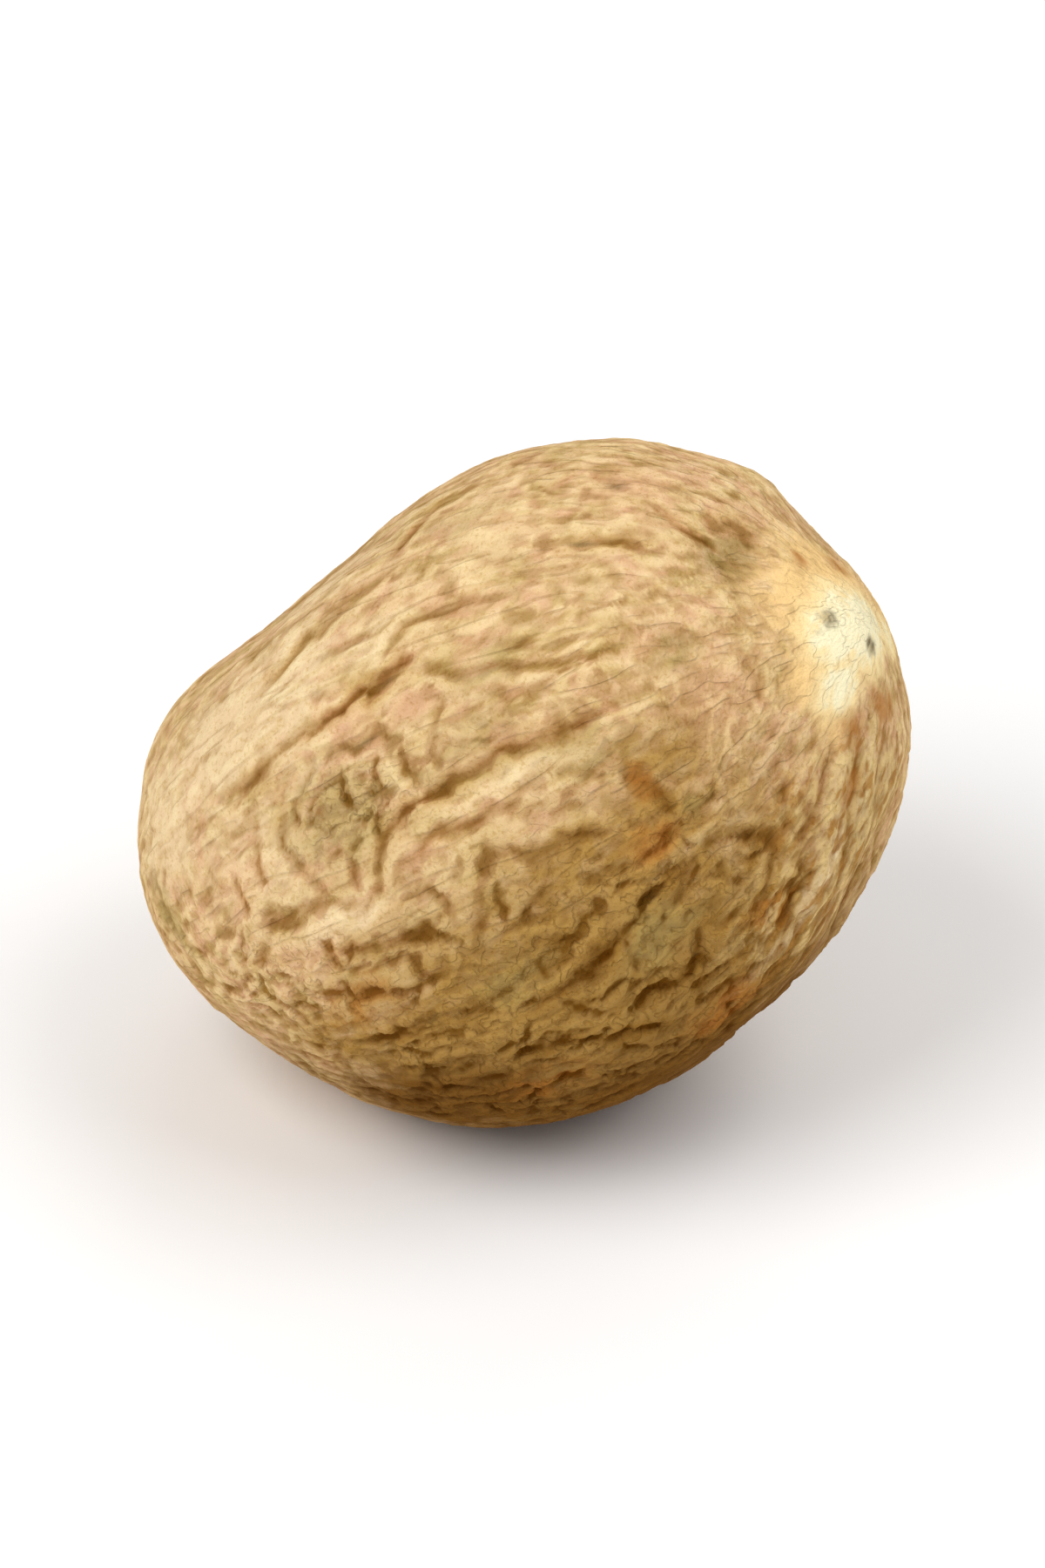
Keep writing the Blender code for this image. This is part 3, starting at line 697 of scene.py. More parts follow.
@dataclass(frozen=True)
class SeedForm:
    """The seed's soft form, without its furrows, and how it lies."""

    length: float = 26.0 * MM
    width: float = 20.2 * MM
    lean: float = 36.0  # degrees that the scar end is raised above the level
    spot_depth: float = 0.42 * MM  # how much of the underside is worn flat
    spot_ease: float = 0.10 * MM  # how softly the worn spot runs out into the skin
    quads: int = 126  # along each side of the cube that the ball is made from
    stray: float = 1.4  # how far the furrows stray, in millimetres for a full swing of noise
    fine_stray: float = 0.45
    stray_noise: Pair = (0.45, 0.0)  # its scale, and which of its many patterns is taken
    fine_stray_noise: Pair = (1.5, 3.0)
    cloud_scale: float = 0.5
    cloud_noise: Noise = (2.0, 0.5, 11.0)

    @property
    def half(self) -> np.ndarray:
        """Half the seed's sizes, along its own axes."""
        return np.array((self.length / 2, self.width / 2, self.width / 2))

    def even_ball(self) -> bpy.types.Mesh:
        """A ball of near-even quads: a cube cut into a grid and drawn out onto the unit sphere.

        Returns:
            Its mesh.
        """
        recipe = GeometryRecipe("Even ball", {"Sides": self.quads + 1})
        sides = {f"Vertices {axis}": recipe.given["Sides"] for axis in "XYZ"}
        cube = recipe.use("GeometryNodeMeshCube", {"Size": (2.0, 2.0, 2.0), **sides}, "Mesh")
        spread = recipe.vector("SCALE", recipe.position(), math.pi / 4)
        place = recipe.vector("NORMALIZE", recipe.vector("TANGENT", spread))
        recipe.end(recipe.changed("SetPosition", cube, {"Position": place}))
        return recipe.run(bpy.data.meshes.new("seed start"), "ball")

    @staticmethod
    def swell_recipe() -> Recipe:
        """The rise that one swell gives a point of the unit ball.

        Returns:
            The group.
        """
        inputs = {"Ball": tuple, "Centre": tuple, "Spread": float, "Height": float}
        recipe = Recipe(Tree.GEOMETRY, "Swell", inputs, {"Rise": float})
        near = recipe.vector("DOT_PRODUCT", recipe.given["Ball"], recipe.given["Centre"])
        away = recipe.math("ARCCOSINE", recipe.math("MINIMUM", near, 1.0))
        reach = recipe.math("DIVIDE", away, recipe.given["Spread"])
        fade = recipe.math("EXPONENT", recipe.product(reach, reach, -1.0))
        recipe.give("Rise", recipe.product(fade, recipe.given["Height"]))
        return recipe

    def shaper(self) -> GeometryRecipe:
        """Draws any mesh on the unit ball out to the seed's soft form.

        Returns:
            The tree, which also stores each point's place on the ball, the way out of the form, how far what
            is laid there strays, and soft noise.
        """
        recipe = GeometryRecipe("Seed form", {
            "Length": self.length, "Width": self.width, "Stray": self.stray, "Fine Stray": self.fine_stray})
        given, ball, swell = recipe.given, recipe.position(), self.swell_recipe()
        sizes = {"X": given["Length"], "Y": given["Width"], "Z": given["Width"]}
        half = recipe.vector("SCALE", recipe.use("ShaderNodeCombineXYZ", sizes, "Vector"), 0.5)
        outward = recipe.vector("NORMALIZE", recipe.vector("DIVIDE", ball, half))
        rises = [
            swell.placed(recipe, {"Ball": ball, "Centre": tuple(direction(item.station, item.turn)),
                                  "Spread": math.radians(item.spread), "Height": item.height * MM})["Rise"]
            for item in SWELLS.values()
        ]
        lifted = recipe.vector("SCALE", outward, recipe.total(*rises))
        laid = recipe.vector("MULTIPLY", ball, half)
        spot = recipe.vector("SCALE", laid, PER_MM)
        warps = []
        for name, (scale, shift) in (("Stray", self.stray_noise), ("Fine Stray", self.fine_stray_noise)):
            noise = recipe.noise(spot, scale, shift=shift, output=1)
            swing = recipe.vector("SUBTRACT", noise, (MIDDLE, MIDDLE, MIDDLE))
            warps.append(recipe.vector("SCALE", swing, given[name]))
        marks = {Mark.BALL: ball, Mark.OUTWARD: outward, Mark.WARP: recipe.vector("ADD", *warps),
                 Mark.CLOUD: recipe.noise(spot, self.cloud_scale, *self.cloud_noise, output=1)}
        mesh = given["Mesh"]
        for mark, value in marks.items():
            mesh = recipe.store(mesh, mark, value)
        recipe.end(recipe.changed("SetPosition", mesh, {"Position": recipe.vector("ADD", laid, lifted)}))
        return recipe

    def turned(self, vectors: np.ndarray) -> np.ndarray:
        """Vectors turned from the seed's own frame into the world's, with the scar end raised."""
        return vectors @ np.array(Matrix.Rotation(-math.radians(self.lean), 3, "Y")).T

    def rested(self, points: np.ndarray, floor: float) -> np.ndarray:
        """Lets points down to a floor, with the underside worn flat where it rests.

        Args:
            points: the points.
            floor: the floor's height.

        Returns:
            The moved points.
        """
        height = points[:, 2] - floor
        rested = points.copy()
        rested[:, 2] = (height + np.sqrt(height**2 + self.spot_ease**2)) / 2
        return rested


@dataclass(frozen=True)
class BackFurrows:
    """Wandering lengthwise furrows for the side that the named ones leave free. Degrees and millimetres."""

    seed: int = 11
    lanes: int = 13
    turns: Pair = (156.0, 330.0)
    starts: Pair = (22.0, 62.0)
    lengths: Pair = (38.0, 78.0)
    swings: Pair = (3.0, 7.0)
    widths: Pair = (0.30, 0.44)
    depths: Pair = (0.22, 0.42)
    last_station: float = 150.0
    step: float = 7.0
    wave: float = 9.0
    jitter: float = 1.5
    pauses: Pair = (4.0, 12.0)
    drift: float = 3.0

    def furrows(self) -> list[Furrow]:
        """Draws the furrows, lane by lane.

        Returns:
            The furrows.
        """
        draw = random.Random(self.seed)
        found = []
        for lane in range(self.lanes):
            turn = self.turns[0] + (self.turns[1] - self.turns[0]) * (lane + 0.5) / self.lanes
            start = draw.uniform(*self.starts)
            swing, phase = draw.uniform(*self.swings), draw.uniform(0.0, math.tau)
            while start < self.last_station:
                end = min(start + draw.uniform(*self.lengths), self.last_station + self.step)
                stations = np.arange(start, end, self.step)
                if len(stations) > 2:
                    turns = [turn + swing * math.sin(phase + station / self.wave) for station in stations]
                    turns = [middle + draw.uniform(-self.jitter, self.jitter) for middle in turns]
                    route = tuple(zip(stations, turns))
                    found.append(Furrow(route, draw.uniform(*self.widths), draw.uniform(*self.depths)))
                start = end + draw.uniform(*self.pauses)
                turn += draw.uniform(-self.drift, self.drift)
        return found


@dataclass(frozen=True)
class Pleats:
    """Short wrinkles that spread from the pit of the far pole."""

    seed: int = 5
    count: int = 13
    reach: Pair = (14.0, 32.0)
    shares: tuple[float, ...] = (0.12, 0.4, 0.7, 1.0)  # of the reach, where a pleat's knots lie
    spacing: float = 0.2
    sway: float = 0.12
    width: float = 0.28
    depth: float = 0.30

    def furrows(self) -> list[Furrow]:
        """Draws the pleats, one after the other round the pit.

        Returns:
            The pleats.
        """
        draw = random.Random(self.seed)
        centre = direction(FAR_PIT.station, FAR_PIT.turn)
        side = unit(np.cross(centre, (0.0, 0.0, 1.0)))
        other = np.cross(centre, side)
        found = []
        for number in range(self.count):
            bearing = math.tau * (number + draw.uniform(-self.spacing, self.spacing)) / self.count
            reach = draw.uniform(*self.reach)
            knots = []
            for share in self.shares:
                away = math.radians(reach * share)
                swayed = bearing + draw.uniform(-self.sway, self.sway)
                around = math.cos(swayed) * side + math.sin(swayed) * other
                knots.append(math.cos(away) * centre + math.sin(away) * around)
            route = tuple(zip(stations_of(np.array(knots)), turns_of(np.array(knots))))
            found.append(Furrow(route, self.width, self.depth))
        return found


@dataclass(frozen=True)
class WrinkleNet:
    """A net of short wrinkles that fills what is left between the furrows."""

    form: SeedForm
    seed: int = 3
    starts: int = 2600
    gap: float = 0.66 * MM  # a wrinkle starts no nearer than this to another cut
    join: float = 0.25 * MM  # and ends where it comes this near to one
    lengths: Pair = (0.8 * MM, 2.6 * MM)  # to either side of its start
    step: float = 0.15 * MM
    crossing: float = 0.2  # share that runs round the seed instead of along it
    slant: float = 0.5
    wander: float = 0.20
    recall: float = 0.88
    width: float = 0.20  # in millimetres, as the depths are
    depths: Pair = (0.11, 0.27)

    def room(self, spot: np.ndarray, laid: np.ndarray) -> float:
        """How far a point of the unit ball lies from the cuts that are there, at the seed's size."""
        return np.linalg.norm(laid - spot * self.form.half, axis=1).min()

    def arm(self, start: np.ndarray, heading: float, length: float, laid: np.ndarray,
            draw: random.Random) -> list[np.ndarray]:
        """Grows one arm of a wrinkle, until it is long enough or meets another cut.

        Args:
            start: the wrinkle's start on the unit ball.
            heading: which way the arm sets out, in radians from the seed's length.
            length: how long it may grow.
            laid: points of the cuts that are there already, at the seed's size.
            draw: where the chances come from.

        Returns:
            The arm's points on the unit ball.
        """
        spots = [start]
        bend = 0.0
        for _ in range(round(length / self.step)):
            spot = spots[-1]
            along = unit(spot * spot[0] - (1.0, 0.0, 0.0))
            bend = self.recall * bend + draw.gauss(0.0, self.wander)
            way = math.cos(heading + bend) * along + math.sin(heading + bend) * np.cross(spot, along)
            spots.append(unit(spot + way * self.step / (self.form.width / 2)))
            if self.room(spots[-1], laid) < self.join:
                break
        return spots

    def grow(self, curves: list[np.ndarray]) -> list[tuple[Furrow, np.ndarray]]:
        """Grows the net between curves that are already laid.

        Args:
            curves: the laid curves, as points of the unit ball.

        Returns:
            Pairs of a furrow without a route and its curve.
        """
        draw = random.Random(self.seed)
        laid = np.vstack(curves) * self.form.half
        wrinkles = []
        for _ in range(self.starts):
            start = unit(np.array([draw.gauss(0.0, 1.0) for _ in range(3)]))
            crossing = draw.random() < self.crossing
            heading = draw.uniform(-self.slant, self.slant) + (math.pi / 2 if crossing else 0.0)
            lengths = draw.uniform(*self.lengths), draw.uniform(*self.lengths)
            depth = draw.uniform(*self.depths)
            if self.room(start, laid) < self.gap:
                continue
            for patch in CALM_PATCHES.values():
                depth *= 1.0 - patch.rise(start)
            back = self.arm(start, heading + math.pi, lengths[0], laid, draw)
            forth = self.arm(start, heading, lengths[1], laid, draw)
            curve = np.array(back[:0:-1] + forth)
            laid = np.vstack((laid, curve * self.form.half))
            wrinkles.append((Furrow((), self.width, depth), curve))
        return wrinkles


@dataclass
class Relief:
    """What the furrows do at each point of the form. They run raggedly, because its points are strayed."""

    points: np.ndarray
    turns: np.ndarray
    cloud: np.ndarray  # three noises about zero
    groove: np.ndarray
    rise: np.ndarray
    soil: np.ndarray
    power: float = 1.6
    narrowing: float = 0.64
    shallowing: float = 0.33
    swelling: float = 0.42
    core: float = 0.8  # the share of a furrow's depth that its narrow core takes
    flank: float = 2.4  # groove widths that the rest spreads over
    reach: float = 6.0  # groove widths past which a furrow no longer counts
    taper_share: float = 0.22  # of a furrow's length, at either end
    taper_power: float = 0.6
    lip_offset: float = 2.0  # the lip's crest stands this many groove widths from the groove
    soil_spread: float = 2.2  # groove widths that the brown of a furrow spreads
    deepening: float = 2.4
    deepening_limits: Pair = (0.4, 1.5)
    widening: float = 1.2
    widening_limits: Pair = (0.7, 1.4)
    no_height: float = 1e-9 * MM

    @classmethod
    def flat(cls, points: np.ndarray, turns: np.ndarray, cloud: np.ndarray) -> "Relief":
        """A relief with nothing cut yet."""
        return cls(points, turns, cloud - MIDDLE, *(np.zeros(len(points)) for _ in range(3)))

    def cut(self, furrow: Furrow, curve: np.ndarray, line: np.ndarray) -> None:
        """Deepens the groove, raises the lip or the welt and browns the skin where a furrow passes.

        Args:
            furrow: the furrow's sizes.
            curve: its points on the unit ball.
            line: the same points on the form.
        """
        width, depth, lip = furrow.width * MM, furrow.depth * MM, furrow.lip * MM
        reach = self.reach * width
        inside = (self.points > line.min(axis=0) - reach) & (self.points < line.max(axis=0) + reach)
        near = np.flatnonzero(np.all(inside, axis=1))
        gaps = np.linalg.norm(self.points[near, None, :] - line[None, :, :], axis=2)
        nearest = gaps.argmin(axis=1)
        widened = np.clip(1.0 + self.widening * self.cloud[near, 1], *self.widening_limits)
        gap = gaps.min(axis=1) / (width * self.narrowing * widened)
        share = nearest / (len(line) - 1)
        taper = np.clip(np.minimum(share, 1.0 - share) / self.taper_share, 0.0, 1.0) ** self.taper_power
        taper = taper * np.clip(1.0 + self.deepening * self.cloud[near, 0], *self.deepening_limits)
        profile = self.core * np.exp(-(gap**self.power))
        profile += (1.0 - self.core) * np.exp(-((gap / self.flank) ** 2))
        side = nearer_way(self.turns[near] - turns_of(curve)[nearest])
        crest = np.exp(-((gap - self.lip_offset) ** 2)) * (side * lip > 0)
        for kept, added in (
                (self.groove, depth * taper * profile * self.shallowing),
                (self.rise, -depth * taper * profile * self.swelling),
                (self.rise, abs(lip) * self.swelling * taper * crest),
                (self.soil, depth * taper * np.exp(-((gap / self.soil_spread) ** 2)))):
            kept[near] = np.maximum(kept[near], added)

    def height(self) -> np.ndarray:
        """How far each point stands out of the form."""
        return self.rise * self.rise / (self.groove + self.rise + self.no_height) - self.groove


@dataclass(frozen=True)
class FurrowWork:
    """All the furrows of the seed and the cutting of them."""

    form: SeedForm
    step: float = 0.15 * MM
    cross_bow: float = 0.8  # degrees of station that a cross wrinkle bows
    cross_width: float = 0.24
    cross_depth: float = 0.32

    def curve(self, route: tuple) -> np.ndarray:
        """A smooth curve through the points of a route.

        Args:
            route: stations and turns.

        Returns:
            Points of the unit ball, about a step apart at the seed's size.
        """
        knots = np.array([direction(*place) for place in route])
        knots = np.vstack((2 * knots[0] - knots[1], knots, 2 * knots[-1] - knots[-2]))
        found = []
        for before, start, end, after in zip(knots, knots[1:], knots[2:], knots[3:]):
            steps = max(2, round(float(np.linalg.norm(end - start)) * self.form.length / 2 / self.step))
            for share in np.arange(steps) / steps:
                found.append(
                    0.5 * (2 * start + (end - before) * share
                           + (2 * before - 5 * start + 4 * end - after) * share**2
                           + (3 * start - before - 3 * end + after) * share**3))
        return unit(np.array([*found, knots[-2]]))

    def laid(self) -> list[tuple[Furrow, np.ndarray]]:
        """Lays the named furrows, those behind, the pleats, the net and the cross wrinkles.

        Returns:
            Each furrow with its curve on the unit ball.
        """
        furrows = [*FURROWS.values(), *BackFurrows().furrows(), *Pleats().furrows()]
        pairs = [(furrow, self.curve(furrow.route)) for furrow in furrows]
        pairs += WrinkleNet(self.form).grow([curve for _, curve in pairs])
        for station, start, end in CROSS_WRINKLES:
            route = (station, start), (station + self.cross_bow, (start + end) / 2), (station, end)
            pairs.append((Furrow(route, self.cross_width, self.cross_depth), self.curve(route)))
        return pairs

    def carve(self, shaper: GeometryRecipe, relief: Relief) -> None:
        """Cuts every furrow into the form.

        Args:
            shaper: the tree that lays points of the unit ball on the form.
            relief: what is cut.
        """
        pairs = self.laid()
        strung = bpy.data.meshes.new("furrow lines")
        strung.from_pydata(np.vstack([curve for _, curve in pairs]).tolist(), [], [])
        lines = read_points(shaper.run(strung, "furrow lines laid"))
        first = 0
        for furrow, curve in pairs:
            relief.cut(furrow, curve, lines[first:first + len(curve)])
            first += len(curve)
        log.info("furrows: %d cut into the form", len(pairs))


@dataclass(frozen=True)
class SkinRelief:
    """The finer relief of the skin between its furrows. Heights are in metres, scales are for each mm.

    Each plain number is an input of the tree under the same name.
    """

    net_height: float = 0.085 * MM
    net_scale: float = 1.05
    crease_depth: float = 0.13 * MM
    crease_scale: float = 0.62
    wrinkle_height: float = 0.20 * MM
    wrinkle_scale: float = 1.15
    fibre_height: float = 0.10 * MM
    fibre_scale: float = 1.25
    pucker_height: float = 0.24 * MM
    pucker_scale: float = 0.42
    stretch: float = 0.5  # how far the wrinkles are drawn out along the seed
    hollow_steps: int = 7
    basin_steps: int = 36
    mottle_scale: float = 1.9
    streak_scale: float = 2.4
    crease_noise: Noise = (3.0, 0.55, 5.0)
    wrinkle_noise: Noise = (3.0, 0.7, 7.0)
    pucker_noise: Noise = (2.0, 0.5, 9.0)
    colour_noise: Noise = (2.0, 0.6, 13.0)
    bare_scar: Span = (0.2, 0.7, 1.0, 0.45)
    ridge: Span = (0.0, 0.18, 1.0, 0.0)
    cell: Span = (0.08, 0.5, 0.0, 0.8)
    patchy_net: Span = (0.32, 0.62, 0.25, 1.1)
    crease: Span = (0.0, 0.09, 1.0, 0.0)
    patchy_creases: Span = (0.40, 0.60, 0.2, 1.0)
    rugged_creases: Span = (0.1, 0.9, 0.15, 1.1)
    rugged_wrinkles: Span = (0.1, 1.0, 0.20, 1.1)
    fibrous_rays: Span = (0.0, 1.0, 0.7, 1.2)

    def inputs(self) -> dict[str, float]:
        """The plain numbers by the input's name."""
        values = {field.name.replace("_", " ").title(): getattr(self, field.name) for field in fields(self)}
        return {name: value for name, value in values.items() if not isinstance(value, tuple)}


class ReliefTree(GeometryRecipe):
    """The tree that raises the skin's finer relief and marks what is hollow."""

    def __init__(self, sizes: SkinRelief, half: np.ndarray, finish: bpy.types.Material) -> None:
        """Wires the tree.

        Args:
            sizes: the relief's numbers.
            half: half the seed's sizes.
            finish: the skin's material.
        """
        inputs = {"Half Sizes": tuple(half * PER_MM), **sizes.inputs(), "Finish": finish}
        super().__init__("Skin relief", inputs)
        self.sizes = sizes
        self.spot = self.vector("MULTIPLY", self.read(Mark.BALL), self.given["Half Sizes"])
        drawn = self.use("ShaderNodeCombineXYZ", {"X": self.given["Stretch"], "Y": 1.0, "Z": 1.0}, "Vector")
        self.strayed = self.vector("ADD", self.vector("MULTIPLY", self.spot, drawn), self.read(Mark.WARP))
        self.rugged, self.fibre = self.read(Mark.RUGGED), self.read(Mark.FIBRE)
        self.cloud = self.parts(self.read(Mark.CLOUD))
        bare = self.ramp(self.read(Mark.SCAR), *sizes.bare_scar)
        raised = self.total(self.net(), self.creases(), *self.noises())
        kept = self.product(raised, self.read(Mark.CALM), bare)
        shift = self.vector("SCALE", self.read(Mark.OUTWARD), kept)
        mesh = self.changed("SetPosition", self.given["Mesh"], {"Offset": shift})
        for mark in (Mark.HOLLOW, Mark.BASIN):
            mesh = self.store(mesh, mark, self.sunk(self.given[mark.value.title() + " Steps"]))
        for mark, place in ((Mark.MOTTLE, self.strayed), (Mark.STREAK, self.fibre)):
            scale = self.given[mark.value.title() + " Scale"]
            mesh = self.store(mesh, mark, self.noise(place, scale, *sizes.colour_noise, output=1))
        self.end(mesh)

    def net(self) -> Socket:
        """Thin ridges round shallow cells.

        Returns:
            The height.
        """
        edge = self.use("ShaderNodeTexVoronoi", {"Vector": self.strayed, "Scale": self.given["Net Scale"],
                                                 "Randomness": 1.0}, "Distance", feature="DISTANCE_TO_EDGE")
        shape = self.math("SUBTRACT", self.ramp(edge, *self.sizes.ridge), self.ramp(edge, *self.sizes.cell))
        share = self.product(self.rugged, self.ramp(self.cloud[2], *self.sizes.patchy_net))
        return self.product(shape, share, self.given["Net Height"])

    def creases(self) -> Socket:
        """Thin creases where a soft noise passes its middle.

        Returns:
            The height, which is negative.
        """
        soft = self.noise(self.strayed, self.given["Crease Scale"], *self.sizes.crease_noise)
        line = self.ramp(self.math("ABSOLUTE", self.uneven(soft)), *self.sizes.crease)
        share = self.product(self.ramp(self.cloud[0], *self.sizes.patchy_creases),
                             self.ramp(self.rugged, *self.sizes.rugged_creases))
        return self.product(line, share, self.given["Crease Depth"], -1.0)

    def noises(self) -> list[Socket]:
        """Fine wrinkles, lengthwise fibres and soft puckers.

        Returns:
            The height of each.
        """
        given, sizes = self.given, self.sizes
        kinds = {
            "Wrinkle": (self.strayed, sizes.wrinkle_noise, self.ramp(self.rugged, *sizes.rugged_wrinkles)),
            "Fibre": (self.fibre, (), self.ramp(self.read(Mark.RAYS), *sizes.fibrous_rays)),
            "Pucker": (self.spot, sizes.pucker_noise, 1.0),
        }
        heights = []
        for name, (place, noise, share) in kinds.items():
            swing = self.uneven(self.noise(place, given[name + " Scale"], *noise))
            heights.append(self.product(swing, given[name + " Height"], share))
        return heights

    def sunk(self, steps: Socket) -> Socket:
        """How far each point lies under its surroundings.

        Args:
            steps: how far the surroundings reach, in steps from point to point.

        Returns:
            The depth, in millimetres.
        """
        place = self.position()
        blurred = self.use("GeometryNodeBlurAttribute", {"Value": place, "Iterations": steps}, "Value",
                           data_type="FLOAT_VECTOR")
        under = self.vector("SUBTRACT", blurred, place)
        normal = self.use("GeometryNodeInputNormal", {}, 0)
        return self.product(self.vector("DOT_PRODUCT", under, normal), PER_MM)


class SharedEffects:
    """Shader groups used more than once: the grain by skin and floor, the creases twice by the skin."""

    def __init__(self) -> None:
        """Builds each group once."""
        self.grain = self._grain()
        self.creases = self._creases()

    @staticmethod
    def _grain() -> Recipe:
        """The finest grain of a dry surface.

        Returns:
            The group, which gives a height and a mask of what is dark in it.
        """
        inputs, outputs = {"Place": tuple, "Scale": float}, {"Height": float, "Dark": float}
        recipe = Recipe(Tree.SHADER, "Fine grain", inputs, outputs)
        noise = recipe.noise(recipe.given["Place"], recipe.given["Scale"], roughness=0.65)
        recipe.give("Height", noise)
        recipe.give("Dark", recipe.ramp(noise, 0.50, 0.28))
        return recipe

    @staticmethod
    def _creases() -> Recipe:
        """Thin wandering creases.

        Returns:
            The group, which gives a mask.
        """
        inputs = {"Place": tuple, "Scale": float, "Width": float}
        recipe = Recipe(Tree.SHADER, "Creases", inputs, {"Line": float})
        noise = recipe.noise(recipe.given["Place"], recipe.given["Scale"], roughness=0.6, shift=23.0)
        off = recipe.math("ABSOLUTE", recipe.uneven(noise))
        recipe.give("Line", recipe.ramp(off, 0.0, recipe.given["Width"], 1.0, 0.0))
        return recipe


@dataclass(frozen=True)
class SkinFinish:
    """The dry, dusty brown of the seed, with painted shade in its hollows, over its lower half and
    underneath.
    """

    tan: Tint = Tint(206, 167, 119)
    deep: Tint = Tint(185, 145, 94)
    light: Tint = Tint(232, 199, 154)
    streak: Tint = Tint(160, 120, 66)
    dust: Tint = Tint(240, 208, 160)
    bright: Tint = Tint(255, 248, 222)
    green: Tint = Tint(196, 169, 107)
    pink: Tint = Tint(224, 176, 138)
    hollow: Tint = Tint(198, 177, 126)  # the first of these three paints shade into the hollows; the other two brown the skin round the furrows and in them
    soil: Tint = Tint(212, 192, 145)
    darkest: Tint = Tint(198, 174, 126)
    scar: Tint = Tint(255, 244, 202)
    rim: Tint = Tint(252, 224, 164)
    halo: Tint = Tint(248, 208, 142)
    ray: Tint = Tint(224, 190, 132)
    ochre: Tint = Tint(166, 116, 56)
    pit: Tint = Tint(84, 54, 24)
    rust: Tint = Tint(176, 112, 50)
    spot: Tint = Tint(92, 72, 38)
    tones: tuple[tuple[Tone, Tint, float, float], ...] = (  # with how strong and how ragged each is
        # painted shade over the lower half and the underside
        (Tone.SHADE, Tint(157, 119, 59), 0.92, 1.4),
        # painted shade: the deepest dark, low on the front and underneath
        (Tone.UNDER, Tint(107, 71, 29), 0.92, 1.0),
        (Tone.GREY, Tint(206, 178, 128), 0.70, 2.8),
        (Tone.CREAM, Tint(240, 212, 168), 0.80, 2.8),
        (Tone.STRAW, Tint(234, 204, 154), 0.75, 2.8),
        (Tone.OLIVE, Tint(158, 134, 80), 0.70, 2.8),
        (Tone.WARM, Tint(170, 108, 48), 0.70, 2.8),
        (Tone.ROSE, Tint(226, 180, 140), 0.60, 2.8),
    )
    tone_edge: Pair = (0.12, 0.9)
    rays: Span = (0.15, 0.8, 0.0, 0.8)
    ray_ends: Pair = (0.62, 0.38)  # the noises at which a ray is wholly pale and wholly ochre
    worn: Span = (0.3, 0.6, 0.25, 0.50)
    worn_ridges: Pair = (-0.003, -0.040)  # how far a ridge stands out, in millimetres below zero
    bright_share: float = 0.7
    browned: Span = (0.10, 0.8, 0.0, 0.6)
    patchy: Span = (0.3, 0.6, 0.6, 1.0)
    # how strong the painted shade in hollows is, from smooth to rugged skin
    rugged_hollows: Span = (0.0, 1.0, 0.6, 1.0)
    # the depth, in millimetres, at which a hollow's painted shade is full
    full_hollow: float = 0.065
    deep_furrow: Pair = (0.2, 1.0)
    crease_soil: float = 0.45
    grain_soil: float = 0.5
    raggedness: Pair = (1.2, 1.6)  # of the scar and the spots, by the mottle and by the streaks
    grain_scale: float = 6.5
    crease_scales: Pair = (0.9, 1.3)  # of the creases that run along the seed and of those that run anyhow
    crease_width: float = 0.045
    along_strength: float = 0.7
    rugged_creases: Span = (0.1, 1.0, 0.15, 0.8)
    basin_share: float = 0.4
    grain_depth: float = 0.030
    thread_scale: float = 4.2
    thread_noise: Pair = (1.0, 0.6)  # its detail and its roughness
    roughness: float = 0.80
    grain_roughness: float = 0.12
    gloss: float = 0.0
    bump: float = 0.7
    bump_depth: float = 0.085 * MM

    def material(self, shared: SharedEffects) -> bpy.types.Material:
        """Builds the finish."""
        return SkinCoat(self, shared).material


